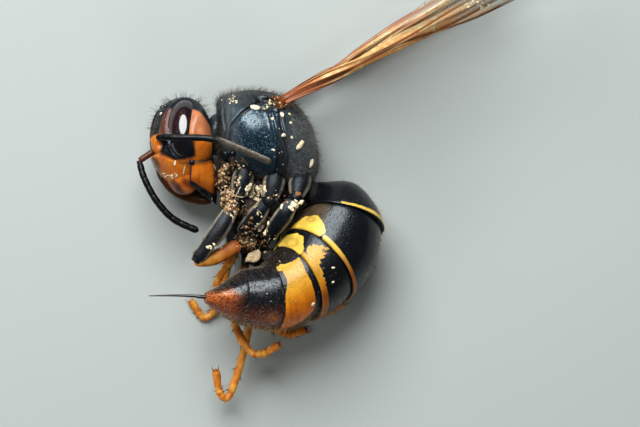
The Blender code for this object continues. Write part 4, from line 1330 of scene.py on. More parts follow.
def makeLegFinish():
    made, tree, shader = newMaterial("legCuticle")
    noise = noiseAt(tree, 2.6, 4.0)
    warm = mixColour(tree, remap(tree, noise, 0.4, 0.65), legs["orange"], legs["yellow"])
    wobble = compute(tree, "MULTIPLY_ADD", noise, 0.5, -0.25)
    mask = remap(tree, compute(tree, "ADD", field(tree, "warm"), wobble), 0.15, 0.75)
    base = mixColour(tree, mask, legs["black"], warm)
    base = mixColour(tree, multiply(tree, field(tree, "flush"), 0.95), base, legs["flush"])
    dust = multiply(tree, field(tree, "edge"), remap(tree, noise, 0.3, 0.6, 0.35, 1.0))
    base = mixColour(tree, dust, base, legs["dusty"])
    look = {
        "pitSize": 0.08,
        "pitDepth": 0.35,
        "wrinkleSize": 0.1,
        "wrinkleDepth": 0.6,
        "mottle": 0.25,
        "film": 0.015,
        "specks": 0.18,
        "roughness": 0.42,
        "specular": 0.35,
        "sheen": (0.85, 0.94, 1.0),
        "bump": 0.016,
    }
    finishCuticle(tree, shader, base, look)
    return made


legFinish = makeLegFinish()
for legName in legJoints:
    runs = legPath(legName)
    upper, warms, edges = [], [], []
    for i, kind in enumerate(("coxa", "femur", "tibia")):
        broad = legs["broadTibia"].get(legName, 1.0) if kind == "tibia" else 1.0
        points, faces, warm, edge = buildLegPart(kind, runs[i], legWarmth[legName][i], broad)
        upper.append((points, faces))
        warms.append(warm)
        edges.append(edge * (1 - warm))
    points, faces = gather(upper)
    nodeName = "leg_" + legName.replace(".", "_")
    flushX, flushY, flushWide = legs["flushed"].get(legName, (0, 0, 0.001))
    flush = hump(
        np.hypot(points[:, 0] - flushX, points[:, 1] - flushY), 0, flushWide,
    ) * np.concatenate(warms)
    replaced = [f"{nodeName}_{kind}" for kind in ("coxa", "femur", "tibia")]
    addPiece(
        f"leg.{legName}.upper", points, faces, legFinish, "black_cuticle", replaced,
        {"warm": np.concatenate(warms), "edge": np.concatenate(edges), "flush": flush}, 60,
    )
    points, faces, warm, edge = buildLegPart("tarsus", runs[3], legWarmth[legName][3])
    addPiece(
        f"leg.{legName}.foot", points, faces, legFinish, "yellow_tarsus", (f"{nodeName}_tarsus",),
        {"warm": warm, "edge": edge * 0, "flush": edge * 0}, 60,
    )
print("legs done")


# Wings: folded membranes with pleats along them, veins as ridges
wings = {
    "thickness": 0.035,
    "rows": 300,
    "columns": 64,
    "amber": (1.0, 0.58, 0.24),
    "golden": (1.0, 0.84, 0.42),
    "smoky": (0.60, 0.60, 0.48),
    "vein": (0.24, 0.080, 0.030),
    "cellAlpha": 0.62,
}
wingShapes = {
    "fore_wing_left": {
        "root": (0.70, 4.85, 2.05), "heading": 25.6, "rise": 1.9, "length": 17.5, "half": 1.05,
        "turn": 68,
    },
    "hind_wing_left": {
        "root": (1.05, 4.90, 0.95), "heading": 28.5, "rise": 0.65, "length": 12.0, "half": 0.55,
        "turn": 76,
    },
    "hind_wing_right": {
        "root": (1.05, 5.00, -0.55), "heading": 34.0, "rise": 0.95, "length": 12.0, "half": 0.50,
        "turn": 104,
    },
    "fore_wing_right": {
        "root": (0.65, 5.00, -1.65), "heading": 31.0, "rise": 0.55, "length": 17.5, "half": 0.90,
        "turn": 112,
    },
}
# veins as places across the blade (-1 to 1) at four shares of its length, with a half width
wingVeins = [
    ([-0.97, -0.97, -0.96, -0.90], 0.060),
    ([-0.70, -0.78, -0.80, -0.84], 0.055),
    ([-0.40, -0.30, -0.25, -0.30], 0.035),
    ([-0.10, 0.10, 0.16, 0.05], 0.030),
    ([0.30, 0.48, 0.52, 0.45], 0.045),
    ([0.85, 0.80, 0.78, 0.70], 0.030),
    ([0.10, -0.10, -0.55, -0.60], 0.028),
]
# short veins across: share of the length, from and to across the blade, slant, half width
wingCrossVeins = [
    (0.437, -0.95, -0.35, -0.9, 0.040), (0.46, -0.30, 0.15, 0.5, 0.018),
    (0.53, 0.15, 0.50, 0.5, 0.018), (0.66, -0.80, -0.30, 0.6, 0.018), (0.40, 0.5, 0.8, 0.5, 0.015),
]


def wingBreadth(share):
    tip = np.sqrt(clamp(1 - (np.maximum(share - 0.84, 0.0) / 0.16) ** 2))
    return (0.24 + 0.76 * softStep(share, 0.0, 0.55)) * np.maximum(tip, 0.06)


def buildWing(name):
    wing = wingShapes[name]
    heading, turn = math.radians(wing["heading"]), math.radians(wing["turn"])
    along = np.array((math.cos(heading), math.sin(heading), 0.0))
    flatAcross = np.array((-math.sin(heading), math.cos(heading), 0.0))
    up = np.array((0.0, 0.0, 1.0))
    share = np.linspace(0, 1, wings["rows"])
    u = np.linspace(-1, 1, wings["columns"])
    ss, uu = np.meshgrid(share, u, indexing="ij")
    settle = softStep(ss, 0.0, 0.25)
    across = flatAcross * np.cos(turn * settle)[..., None] + up * np.sin(turn * settle)[..., None]
    face = np.cross(along, across)
    breadth = wing["half"] * wingBreadth(ss)
    seed = 60 + len(name) + int(wing["heading"])
    root = np.array(lowered(wing["root"][:2], wing["root"][2]))
    centre = root + along * (wing["length"] * ss)[..., None] + up * (wing["rise"] * ss)[..., None]
    mm = ss * wing["length"]
    near = np.full(ss.shape, 9.0)
    raised = np.zeros(ss.shape)
    for places, half in wingVeins:
        line = curveAt(np.array(places)[:, None], ss)[..., 0]
        gap = np.abs(uu - line) * breadth
        near = np.minimum(near, gap - half * (1 - 0.6 * ss))
        raised += np.exp(-((gap / (half * 1.3)) ** 2)) * half
    for place, low, high, slant, half in wingCrossVeins:
        gap = np.abs(mm - place * wing["length"] - slant * (uu - low))
        inSpan = (uu > low) & (uu < high)
        near = np.where(inSpan, np.minimum(near, gap - half), near)
        raised += np.where(inSpan, hump(gap, 0, 0.05) * 0.03, 0)
    stigma = np.hypot((mm - 0.60 * wing["length"]) / 0.9, (uu + 0.88) * breadth / 0.09)
    near = np.minimum(near, (stigma - 1) * 0.08)
    pleat = 0.085 * np.sin(uu * 6.0 + 0.6 * np.sin(mm * 0.5) + seed) + 0.05 * np.sin(uu * 13 + mm * 0.7)
    pleat = pleat * softStep(ss, 0.0, 0.12) * np.clip(breadth / 0.5, 0.2, 1.2)
    sag = 0.12 * np.sin(mm * 0.55 + seed) * uu + 0.04 * waves(np.stack([mm, uu * 2, ss * 0], -1), 1.7, seed)
    wave = pleat + sag * softStep(ss, 0.1, 0.3)
    middle = centre + across * (breadth * uu)[..., None] + face * wave[..., None]
    rim = np.sqrt(np.clip(1 - np.abs(uu) ** 8, 0.03, 1))
    thick = wings["thickness"] / 2 * rim + raised * 0.8
    front = middle + face * thick[..., None]
    back = (middle - face * thick[..., None])[:, ::-1]
    points = np.concatenate([front, back], 1)
    points[..., 2] = np.maximum(points[..., 2], 0.02)
    doubled = lambda values: np.concatenate([values, values[:, ::-1]], 1)
    fields = {
        "veinGap": doubled(near),
        "share": doubled(ss),
        "place": doubled(uu),
    }
    return points, fields


def makeWingFinish():
    made, tree, shader = newMaterial("wingMembrane")
    cloud = noiseAt(tree, 0.8, 5.0)
    streak = noiseAt(tree, 3.2, 6.0)
    share = field(tree, "share")
    gold = remap(tree, multiply(tree, cloud, streak), 0.20, 0.36)
    cell = mixColour(tree, gold, wings["amber"], wings["golden"])
    far = remap(tree, compute(tree, "MULTIPLY_ADD", cloud, 0.35, share), 0.58, 0.86)
    cell = mixColour(tree, far, cell, wings["smoky"])
    nearRoot = remap(tree, share, 0.03, 0.20, 1.0, 0.0)
    cell = mixColour(tree, nearRoot, cell, (0.40, 0.11, 0.030))
    vein = remap(tree, field(tree, "veinGap"), -0.008, 0.020, 1.0, 0.0)
    base = mixColour(tree, vein, cell, wings["vein"])
    tree.links.new(base, shader.inputs["Base Color"])
    thin = remap(tree, share, 0.05, 0.75, 0.74, 0.26)
    thin = multiply(tree, thin, remap(tree, streak, 0.3, 0.7, 0.8, 1.1))
    tree.links.new(compute(tree, "MAXIMUM", thin, vein), shader.inputs["Alpha"])
    fine = noiseAt(tree, 22.0, 3.0)
    tree.links.new(bumpFrom(tree, fine, 0.01), shader.inputs["Normal"])
    shader.inputs["Roughness"].default_value = 0.30
    shader.inputs["Specular IOR Level"].default_value = 0.35
    return made


wingFinish = makeWingFinish()
for wingName in wingShapes:
    grid, wingFields = buildWing(wingName)
    addPiece(
        wingName.replace("_", ".") + ".sheet", *closed(grid), wingFinish, "wing_membrane",
        (wingName,), wingFields,
    )
print("wings done")


# Sting
sting = {"length": 2.5, "rootRadius": 0.085, "tipRadius": 0.018, "drop": 0.55, "swing": 0.05, "bow": 0.06}


def buildSting():
    tip = curveAt(gaster["stations"], np.array(1.0))[:3]
    s = np.linspace(0, 1, 60)
    path = tip[None] + np.stack(
        [
            0.35 - (sting["length"] + 0.60) * s,
            sting["swing"] * s**2 + sting["bow"] * np.sin(math.pi * s), -sting["drop"] * s,
        ],
        -1,
    )
    radii = sting["tipRadius"] + (sting["rootRadius"] - sting["tipRadius"]) * (1 - s) ** 0.7
    sheath = []
    for side in (-1, 1):
        run = tip + np.stack(
            [0.3 - 0.75 * s[:30] * 2, 0.03 * side + 0 * s[:30], 0.07 * side - 0.1 * s[:30]], -1,
        )
        sheath.append(rod(run, 0.07 * (1 - s[:30] * 1.6) + 0.01, 10))
    return gather([rod(path, radii, 14)] + sheath)


def makeStingFinish():
    made, tree, shader = newMaterial("stingHorn")
    noise = noiseAt(tree, 3.0, 3.0)
    tree.links.new(
        mixColour(tree, noise, (0.003, 0.002, 0.002), (0.025, 0.006, 0.004)),
        shader.inputs["Base Color"],
    )
    shader.inputs["Roughness"].default_value = 0.2
    shader.inputs["Coat Weight"].default_value = 0.5
    return made


addPiece("stingShaft", *buildSting(), makeStingFinish(), "sting", ("sting",))
print("sting done")
# Hair: thin tapered tufts, each rooted just under the skin and mapped at its root's place on
# the skin's unwrap
hair = {
    "rings": np.array((-0.10, 0.35, 0.70)),  # along the length, the first one under the skin
    "thinning": np.array((1.0, 0.75, 0.45)),
    "sides": 3,
    "patch": 0.0015,  # half the breadth of a tuft's place on the unwrap
    "seed": 9,
}
hairRng = np.random.default_rng(hair["seed"])


def pickRoots(grid, weight, count, cell=(0.0, 0.0, 1.0, 1.0)):
    # gives places, ways out, ways back and spots on the unwrap
    rows, columns = grid.shape[:2]
    down = grid[1:] - grid[:-1]
    across = np.roll(grid, -1, 1) - grid
    normal = np.cross(across[:-1], down)
    chance = np.linalg.norm(normal, axis=-1) * (weight[1:] + weight[:-1])
    chosen = hairRng.choice(chance.size, count, p=(chance / chance.sum()).ravel())
    r, c = np.divmod(chosen, columns)
    u, v = hairRng.random((2, count, 1))
    nextColumn = (c + 1) % columns
    near = grid[r, c] * (1 - v) + grid[r, nextColumn] * v
    far = grid[r + 1, c] * (1 - v) + grid[r + 1, nextColumn] * v
    place = near * (1 - u) + far * u
    out = unit(normal[r, c])
    out *= np.sign((out * (place - grid.mean(1)[r])).sum(1) + 1e-9)[:, None]
    spot = np.stack([(c + v[:, 0]) / columns, (r + u[:, 0]) / (rows - 1)], -1)
    spot = np.array(cell[:2]) + (0.01 + 0.98 * spot) * np.array(cell[2:])
    return {"place": place, "out": out, "back": unit(down[r, c]), "spot": spot, "cell": (r, c)}


def joinRoots(sets):
    return {key: np.concatenate([s[key] for s in sets]) for key in ("place", "out", "back", "spot", "mark")}


def markRoots(roots, marks):  # the skin's own marking where each tuft stands
    roots["mark"] = marks[roots["cell"]]
    return roots


def growHair(name, roots, look, slot):
    count, sides = len(roots["place"]), hair["sides"]
    length = hairRng.uniform(*look["length"], (count, 1)) * hairRng.uniform(0.8, 1.0, (count, 1))
    stray = hairRng.normal(size=(count, 3)) * look["stray"]
    way = unit(roots["out"] * look["stand"] + roots["back"] * (1 - look["stand"]) + stray)
    bend = roots["back"] * look["bend"] + hairRng.normal(size=(count, 3)) * 0.08
    across = unit(np.cross(way, roots["back"] + 0.3 * roots["out"][:, ::-1]))
    up = np.cross(across, way)
    radius = look["radius"] * hairRng.uniform(0.7, 1.2, (count, 1))
    rings, spots = [], []
    for share, thin in zip(hair["rings"], hair["thinning"]):
        centre = roots["place"] + (way * share + bend * share**2) * length
        for k in range(sides):
            turn = 2 * math.pi * k / sides
            rings.append(centre + (across * math.cos(turn) + up * math.sin(turn)) * radius * thin)
            spots.append(roots["spot"] + np.array((math.cos(turn), math.sin(turn))) * hair["patch"] * thin)
    rings.append(roots["place"] + (way + bend) * length)
    spots.append(roots["spot"])
    points = np.stack(rings, 1)
    points = onFloor(points)
    pattern = [[2, 1, 0]]
    for low in (0, sides):
        for k in range(sides):
            after = low + (k + 1) % sides
            pattern.append([low + k, after, after + sides, low + sides + k])
    tip = 3 * sides
    pattern += [[2 * sides + k, 2 * sides + (k + 1) % sides, tip] for k in range(sides)]
    faces = [[i * (tip + 1) + corner for corner in face] for i in range(count) for face in pattern]
    reach = np.tile(np.concatenate([np.repeat(np.maximum(hair["rings"], 0), sides), [1.0]]), count)
    fields = {"reach": reach, "tone": np.repeat(hairRng.random(count), tip + 1)}
    if "mark" in roots:
        fields["mark"] = np.repeat(roots["mark"], tip + 1)
    piece = addPiece(name, points, faces, look["finish"], slot, (), fields)
    corners = np.zeros(len(piece.data.loops), np.int32)
    piece.data.loops.foreach_get("vertex_index", corners)
    layer = piece.data.uv_layers.new(name="OFBake")
    layer.data.foreach_set("uv", np.stack(spots, 1).reshape(-1, 2)[corners].astype(np.float32).ravel())
    return piece


# plain: both tones where the skin has no marking
def makeHairFinish(name, dark, light, roughness=0.5, plain=None):
    made, tree, shader = newMaterial(name)
    noise = noiseAt(tree, 1.5, 3.0)
    tone = compute(tree, "MULTIPLY_ADD", noise, 0.8, compute(tree, "SUBTRACT", field(tree, "tone"), 0.4))
    base = mixColour(tree, remap(tree, tone, 0.15, 0.95), dark, light)
    tipShade = multiply(tree, field(tree, "reach"), 0.45)
    base = mixColour(tree, tipShade, base, light)
    if plain:
        unmarked = mixColour(tree, remap(tree, tone, 0.15, 0.95), *plain)
        unmarked = mixColour(tree, tipShade, unmarked, plain[1])
        base = mixColour(tree, field(tree, "mark"), unmarked, base)
    tree.links.new(base, shader.inputs["Base Color"])
    shader.inputs["Roughness"].default_value = roughness
    return made


def growCoats():
    bristle = makeHairFinish("blackBristle", (0.004, 0.004, 0.005), (0.020, 0.016, 0.015), 0.35)
    pile = makeHairFinish("greyBrownPile", (0.010, 0.010, 0.010), (0.17, 0.14, 0.10))
    fuzz = makeHairFinish("greyFuzz", (0.07, 0.073, 0.072), (0.30, 0.29, 0.26))
    frost = makeHairFinish("paleFrost", (0.16, 0.12, 0.09), (0.70, 0.62, 0.50), 0.3)
    gold = makeHairFinish("goldenHair", (0.34, 0.15, 0.04), (0.88, 0.60, 0.26))
    banded = makeHairFinish(
        "bandedHair", (0.34, 0.15, 0.04), (0.88, 0.60, 0.26), 0.45,
        ((0.030, 0.018, 0.012), (0.42, 0.31, 0.21)),
    )
    yellowed = softStep(gasterFields["yellow"], -0.01, 0.03)

    x, y = headGrid[..., 0], headGrid[..., 1]
    black = headFields["black"] * softStep(y, 2.9, 3.4)
    roots = pickRoots(headGrid, black + 1e-6, 330)
    look = {
        "length": (0.28, 0.60), "radius": 0.0085, "stand": 0.92, "bend": 0.05, "stray": 0.22,
        "finish": bristle,
    }
    growHair("coat.head.bristles", roots, look, "face_cuticle")
    roots = pickRoots(
        headGrid, (1 - headFields["black"]) * softStep(headGrid[..., 2], 0.5, 1.5) + 1e-6, 500,
    )
    look = {
        "length": (0.06, 0.15), "radius": 0.005, "stand": 0.6, "bend": 0.1, "stray": 0.25,
        "finish": gold,
    }
    growHair("coat.head.down", roots, look, "face_cuticle")

    x, y = thoraxGrid[..., 0], thoraxGrid[..., 1]
    bare = thoraxFields["gloss"]
    thick = 0.25 + 1.6 * softStep(-x, 2.05, 2.45) + 0.9 * softStep(
        np.abs(x - 0.1), 1.2, 2.4,
    ) + 0.9 * softStep(y, 4.3, 4.9)
    roots = pickRoots(thoraxGrid, thick * (1 - 0.97 * bare) + 1e-6, 2600)
    look = {
        "length": (0.16, 0.50), "radius": 0.0065, "stand": 0.75, "bend": 0.22, "stray": 0.30,
        "finish": pile,
    }
    growHair("coat.thorax.pile", roots, look, "black_cuticle")
    roots = pickRoots(thoraxGrid, softStep(x, 0.8, 1.4) + 1e-6, 5200)
    look = {
        "length": (0.07, 0.20), "radius": 0.0055, "stand": 0.65, "bend": 0.25, "stray": 0.3,
        "finish": fuzz,
    }
    growHair("coat.thorax.rear", roots, look, "black_cuticle")
    roots = pickRoots(thoraxGrid, bare + 1e-6, 300)
    look = {
        "length": (0.06, 0.14), "radius": 0.004, "stand": 0.5, "bend": 0.2, "stray": 0.2,
        "finish": pile,
    }
    growHair("coat.thorax.side", roots, look, "black_cuticle")

    dense = np.array([0.5, 0.35, 0.45, 0.8, 1.1, 1.4])[gasterNumber]
    dense = dense * (0.5 + 0.9 * softStep(gasterFold, 1.9, 2.6) + 0.8 * softStep(0.9 - gasterFold, 0, 0.7))
    roots = markRoots(pickRoots(gasterGrid, dense, 3400), yellowed)
    look = {
        "length": (0.05, 0.13), "radius": 0.0042, "stand": 0.5, "bend": 0.15, "stray": 0.22,
        "finish": banded,
    }
    growHair("coat.abdomen.down", roots, look, "banded_cuticle")
    roots = pickRoots(gasterGrid, np.where(gasterNumber >= 4, 1.0, 1e-5), 3000)
    look = {
        "length": (0.035, 0.09), "radius": 0.0055, "stand": 0.6, "bend": 0.1, "stray": 0.3,
        "finish": frost,
    }
    growHair("coat.abdomen.tip", roots, look, "banded_cuticle")
    late = np.where(gasterNumber >= 3, 1.0, 0.15) * softStep(0.8 - gasterFold, 0, 0.5)
    roots = markRoots(pickRoots(gasterGrid, late + 1e-6, 1000), np.maximum(yellowed, 0.35))
    look = {
        "length": (0.14, 0.36), "radius": 0.0075, "stand": 0.7, "bend": 0.12, "stray": 0.25,
        "finish": banded,
    }
    growHair("coat.abdomen.fringe", roots, look, "banded_cuticle")

    sets = []
    for i, (path, radii, flat, warm) in enumerate(legRuns):
        grid = rod(path, radii, 16, flat)[0].reshape(len(path), 16, 3)
        cell = ((i % 4) / 4, (i // 4) / 6, 1 / 4, 1 / 6)
        roots = pickRoots(grid, np.ones(grid.shape[:2]), 75, cell)
        sets.append(markRoots(roots, np.repeat(warm, 16).reshape(-1, 16)))
    look = {
        "length": (0.05, 0.15), "radius": 0.0055, "stand": 0.5, "bend": 0.12, "stray": 0.2,
        "finish": banded,
    }
    growHair("coat.legs.down", joinRoots(sets), look, "yellow_tarsus")


growCoats()
print("hair done")


def lumpyBall(rows, columns, halves, turn, seed, rough):
    ball = np.stack(ballGrid(rows, columns), -1)
    ball = ball * (1 + rough * waves(ball, 2.6, seed) + 0.6 * rough * waves(ball, 6.0, seed + 1))[..., None]
    ball = ball * np.array(halves)
    c, s = math.cos(turn), math.sin(turn)
    return ball @ np.array([(c, s, 0), (-s, c, 0), (0, 0, 1)])


# Small knobs: the wing's cover scale and root plates, and the neck's own
knobs = {
    # middle X, Y, height over the middle plane, three half sizes, turn in degrees, kind
    "wingRoot": [
        (-0.37, 4.90, 1.50, 0.34, 0.20, 0.10, 10, 1.0),
        (0.42, 4.92, 1.80, 0.20, 0.13, 0.12, -30, 0.55),
        (0.70, 4.78, 1.95, 0.16, 0.12, 0.14, 25, 0.40),
        (0.48, 4.66, 1.85, 0.12, 0.18, 0.11, 0, 0.85),
        (0.15, 4.95, 1.75, 0.14, 0.11, 0.10, 40, 0.9),
    ],
    "neck": [
        (-2.14, 2.20, 1.45, 0.21, 0.24, 0.24, 10, 1.0),
        (-1.80, 2.22, 1.98, 0.17, 0.19, 0.18, 0, 1.0),
    ],
}
for knobSet, entries in knobs.items():
    parts, darks = [], []
    for i, (x, y, rise, wide, high, deep, turn, dark) in enumerate(entries):
        ball = lumpyBall(
            24, 34, (wide, high, deep), math.radians(turn), 500 + i, 0.05,
        ) + np.array(lowered((x, y), rise))
        parts.append(closed(ball))
        darks.append(np.full(24 * 34, dark))
    points, faces = gather(parts)
    darks = np.concatenate(darks)
    knobFields = {"black": softStep(darks, 0.6, 1.0), "ruddy": clamp(1.2 - darks), "amber": 0.3 * darks}
    addPiece(f"knobs.{knobSet}", points, faces, faceFinish, "black_cuticle", (), knobFields)
# the neck, between the back of the head and the collar
neck = {"middle": (-2.70, 3.22), "rise": -0.05, "halves": (0.50, 1.06, 0.95)}
ball = lumpyBall(
    40, 56, neck["halves"], math.radians(-6), 540, 0.05,
) + np.array(lowered(neck["middle"], neck["rise"]))
points, faces = gather([(ball, tubeFaces(40, 56))])
addPiece("neck", points, faces, thoraxFinish, "black_cuticle", (), {"grey": 0.12})
# each wing's own base, from the thorax beside it into the blade
thoraxTree = BVHTree.FromPolygons(thoraxGrid.reshape(-1, 3).tolist(), tubeFaces(*thoraxGrid.shape[:2]))
bases = []
for wing in wingShapes.values():
    heading = math.radians(wing["heading"])
    root = np.array(lowered(wing["root"][:2], wing["root"][2]))
    skin = np.array(thoraxTree.find_nearest(Vector(root))[0])
    inner = skin + 0.12 * unit(skin - root)
    outer = root + 0.5 * np.array((math.cos(heading), math.sin(heading), 0.05))
    route = curveAt([inner, (skin + root) / 2, root, outer], np.linspace(0, 1, 24))
    taper = 0.17 * (1 - 0.55 * np.linspace(0, 1, 24) ** 2)
    bases.append(rod(route, taper, 18, 0.8, lambda p: 0.03 * waves(p, 5.0, 91)))
points, faces = gather(bases)
baseFields = {"black": 0.25 * softStep(waves(points, 4.0, 92), 0, 1), "ruddy": 0.45, "amber": 0.35}
addPiece("wingBases", points, faces, faceFinish, "black_cuticle", (), baseFields)


# Crumbs of dust, earth and plant that cling to the animal, each let down onto the skin below it
crumbs = {
    "seed": 21,
    # middle X and Y, half breadth and height of the patch, how many, sizes, and tones from brown to cream
    "patches": [
        (-2.28, 1.20, 0.42, 0.62, 64, 0.03, 0.09, 0.05, 0.75),
        (-2.35, 1.55, 0.30, 0.20, 12, 0.05, 0.10, 0.3, 0.9),
        (-0.88, 0.46, 0.54, 0.37, 30, 0.06, 0.15, 0.7, 1.0),
        (-2.05, -0.05, 0.55, 0.70, 120, 0.025, 0.09, 0.05, 0.8),
        (-1.75, -0.55, 0.45, 0.35, 30, 0.03, 0.08, 0.1, 0.9),
        (-0.50, 0.35, 0.55, 0.45, 36, 0.03, 0.09, 0.1, 0.9),
        (-1.60, 1.55, 0.30, 0.25, 16, 0.025, 0.07, 0.2, 0.8),
        (0.50, 0.10, 0.40, 0.35, 16, 0.03, 0.07, 0.2, 0.9),
        (-0.55, -2.10, 0.60, 0.45, 30, 0.03, 0.08, 0.1, 0.8),
        (-1.60, 0.95, 0.25, 0.35, 14, 0.04, 0.09, 0.4, 0.9),
        (-0.50, 0.75, 0.45, 0.60, 12, 0.03, 0.07, 0.4, 0.9),
        (-0.37, -1.32, 0.34, 0.60, 28, 0.05, 0.13, 0.5, 1.0),
        (-1.20, -1.50, 0.45, 0.80, 26, 0.04, 0.10, 0.1, 0.7),
        (1.39, -0.24, 0.38, 0.26, 16, 0.09, 0.17, 0.9, 1.0),
        (-2.78, -2.29, 0.34, 0.12, 9, 0.06, 0.11, 0.9, 1.0),
        (-4.90, 1.20, 0.42, 0.15, 16, 0.035, 0.07, 0.8, 1.0),
        (-0.10, -7.02, 0.30, 0.18, 12, 0.04, 0.08, 0.8, 1.0),
        (10.2, 9.35, 0.55, 0.22, 16, 0.03, 0.07, 0.9, 1.0),
        (0.25, 4.70, 0.55, 0.22, 16, 0.04, 0.09, 0.6, 1.0),
        (-1.85, 4.85, 0.45, 0.22, 16, 0.03, 0.06, 0.8, 1.0),
        (0.5, 3.2, 1.8, 1.9, 36, 0.012, 0.030, 0.5, 1.0),
        (1.2, -3.2, 2.4, 1.8, 30, 0.012, 0.028, 0.6, 1.0),
    ],
    # middle X and Y, half length, half breadth, turn in degrees, tone
    "single": [
        (-2.36, 1.44, 0.25, 0.07, 12, 0.60),
        (-0.66, 4.46, 0.22, 0.10, -14, 0.92),
        (-0.12, 4.49, 0.08, 0.07, 0, 1.0),
        (0.15, 3.90, 0.09, 0.08, 20, 0.95),
        (0.61, 4.12, 0.15, 0.08, -65, 1.0),
        (0.96, 4.15, 0.08, 0.07, 0, 0.8),
        (1.02, 3.71, 0.09, 0.07, 0, 0.9),
        (0.68, 3.12, 0.14, 0.09, 0, 0.95),
        (1.07, 3.02, 0.07, 0.06, 0, 1.0),
        (1.46, 2.63, 0.29, 0.10, 52, 0.76),
        (0.20, 2.41, 0.05, 0.09, 80, 0.9),
        (2.00, 1.76, 0.20, 0.11, 80, 0.9),
        (2.25, 1.30, 0.12, 0.10, 0, 0.9),
        (1.37, 0.29, 0.15, 0.12, 30, 0.35),
        (-0.80, -2.73, 0.38, 0.24, 35, 0.64),
        (3.07, -3.27, 0.09, 0.05, 0, 1.0),
        (3.07, -3.95, 0.07, 0.06, 0, 0.9),
        (2.10, -5.02, 0.10, 0.08, 60, 0.85),
        (-4.59, 1.80, 0.15, 0.05, 75, 0.95),
        (-4.15, 1.45, 0.30, 0.035, 78, 0.7),
        (-5.33, 4.20, 0.09, 0.06, 10, 0.8),
        (-3.16, -4.55, 0.14, 0.06, 15, 0.9),
    ],
    # stalks and fibres: middle X and Y, half breadth and height of the patch, how many, tones
    "fibres": [
        (-1.95, 0.25, 0.60, 0.80, 46, 0.05, 0.85),
        (-0.90, -0.40, 0.70, 1.00, 40, 0.05, 0.8),
        (-1.75, 1.75, 0.50, 0.40, 16, 0.2, 0.85),
        (-0.60, -2.00, 0.70, 0.50, 22, 0.1, 0.7),
        (0.45, 4.55, 0.50, 0.30, 12, 0.1, 0.6),
    ],
    # clumps that lie between the legs: middle X, Y, height, three half sizes, tone
    "clumps": [
        (-2.12, 1.48, 3.25, 0.42, 0.50, 0.50, 0.03),
        (-2.28, 0.85, 3.20, 0.42, 0.55, 0.48, 0.06),
        (-1.98, 0.02, 3.20, 0.48, 0.68, 0.45, 0.10),
        (-0.55, 0.62, 2.60, 0.60, 0.85, 0.70, 0.0),
        (0.80, 0.45, 2.40, 0.50, 0.75, 0.60, 0.0),
        (2.05, 0.35, 2.60, 0.45, 0.60, 0.60, 0.0),
        (-0.95, -0.45, 3.10, 0.55, 0.62, 0.55, 0.02),
        (-0.75, -1.25, 2.80, 0.50, 0.60, 0.50, 0.02),
        (-1.15, -2.05, 2.60, 0.50, 0.55, 0.45, 0.10),
        (-0.75, -2.80, 2.30, 0.45, 0.42, 0.40, 0.03),
        (0.00, -2.75, 2.30, 0.50, 0.38, 0.45, 0.0),
    ],
}
crumbRng = np.random.default_rng(crumbs["seed"])


def makeCrumbFinish():
    made, tree, shader = newMaterial("dryCrumb")
    noise = noiseAt(tree, 9.0, 5.0)
    tone = compute(tree, "MULTIPLY_ADD", noise, 0.5, compute(tree, "SUBTRACT", field(tree, "tone"), 0.25))
    earth = mixColour(tree, remap(tree, tone, 0.0, 0.45), (0.012, 0.010, 0.010), (0.30, 0.15, 0.045))
    base = mixColour(tree, remap(tree, tone, 0.40, 0.95), earth, (0.84, 0.74, 0.52))
    tree.links.new(base, shader.inputs["Base Color"])
    shader.inputs["Roughness"].default_value = 0.75
    tree.links.new(bumpFrom(tree, noise, 0.04), shader.inputs["Normal"])
    return made


def skinTree():  # everything but hair and floor, to let things down onto
    allPoints, allFaces = [], []
    start = 0
    for piece in bpy.context.scene.objects:
        if piece.type != "MESH" or piece.hide_render or piece.name.startswith("coat."):
            continue
        points = np.zeros(len(piece.data.vertices) * 3, np.float32)
        piece.data.vertices.foreach_get("co", points)
        allPoints.append(points.reshape(-1, 3) * 1000.0 - body["shift"])
        allFaces += [[start + i for i in face.vertices] for face in piece.data.polygons]
        start += len(piece.data.vertices)
    return BVHTree.FromPolygons(np.vstack(allPoints).tolist(), allFaces)


def dropOn(tree, x, y):
    return tree.ray_cast(Vector((x, y, 20.0)), Vector((0, 0, -1)))[:2]


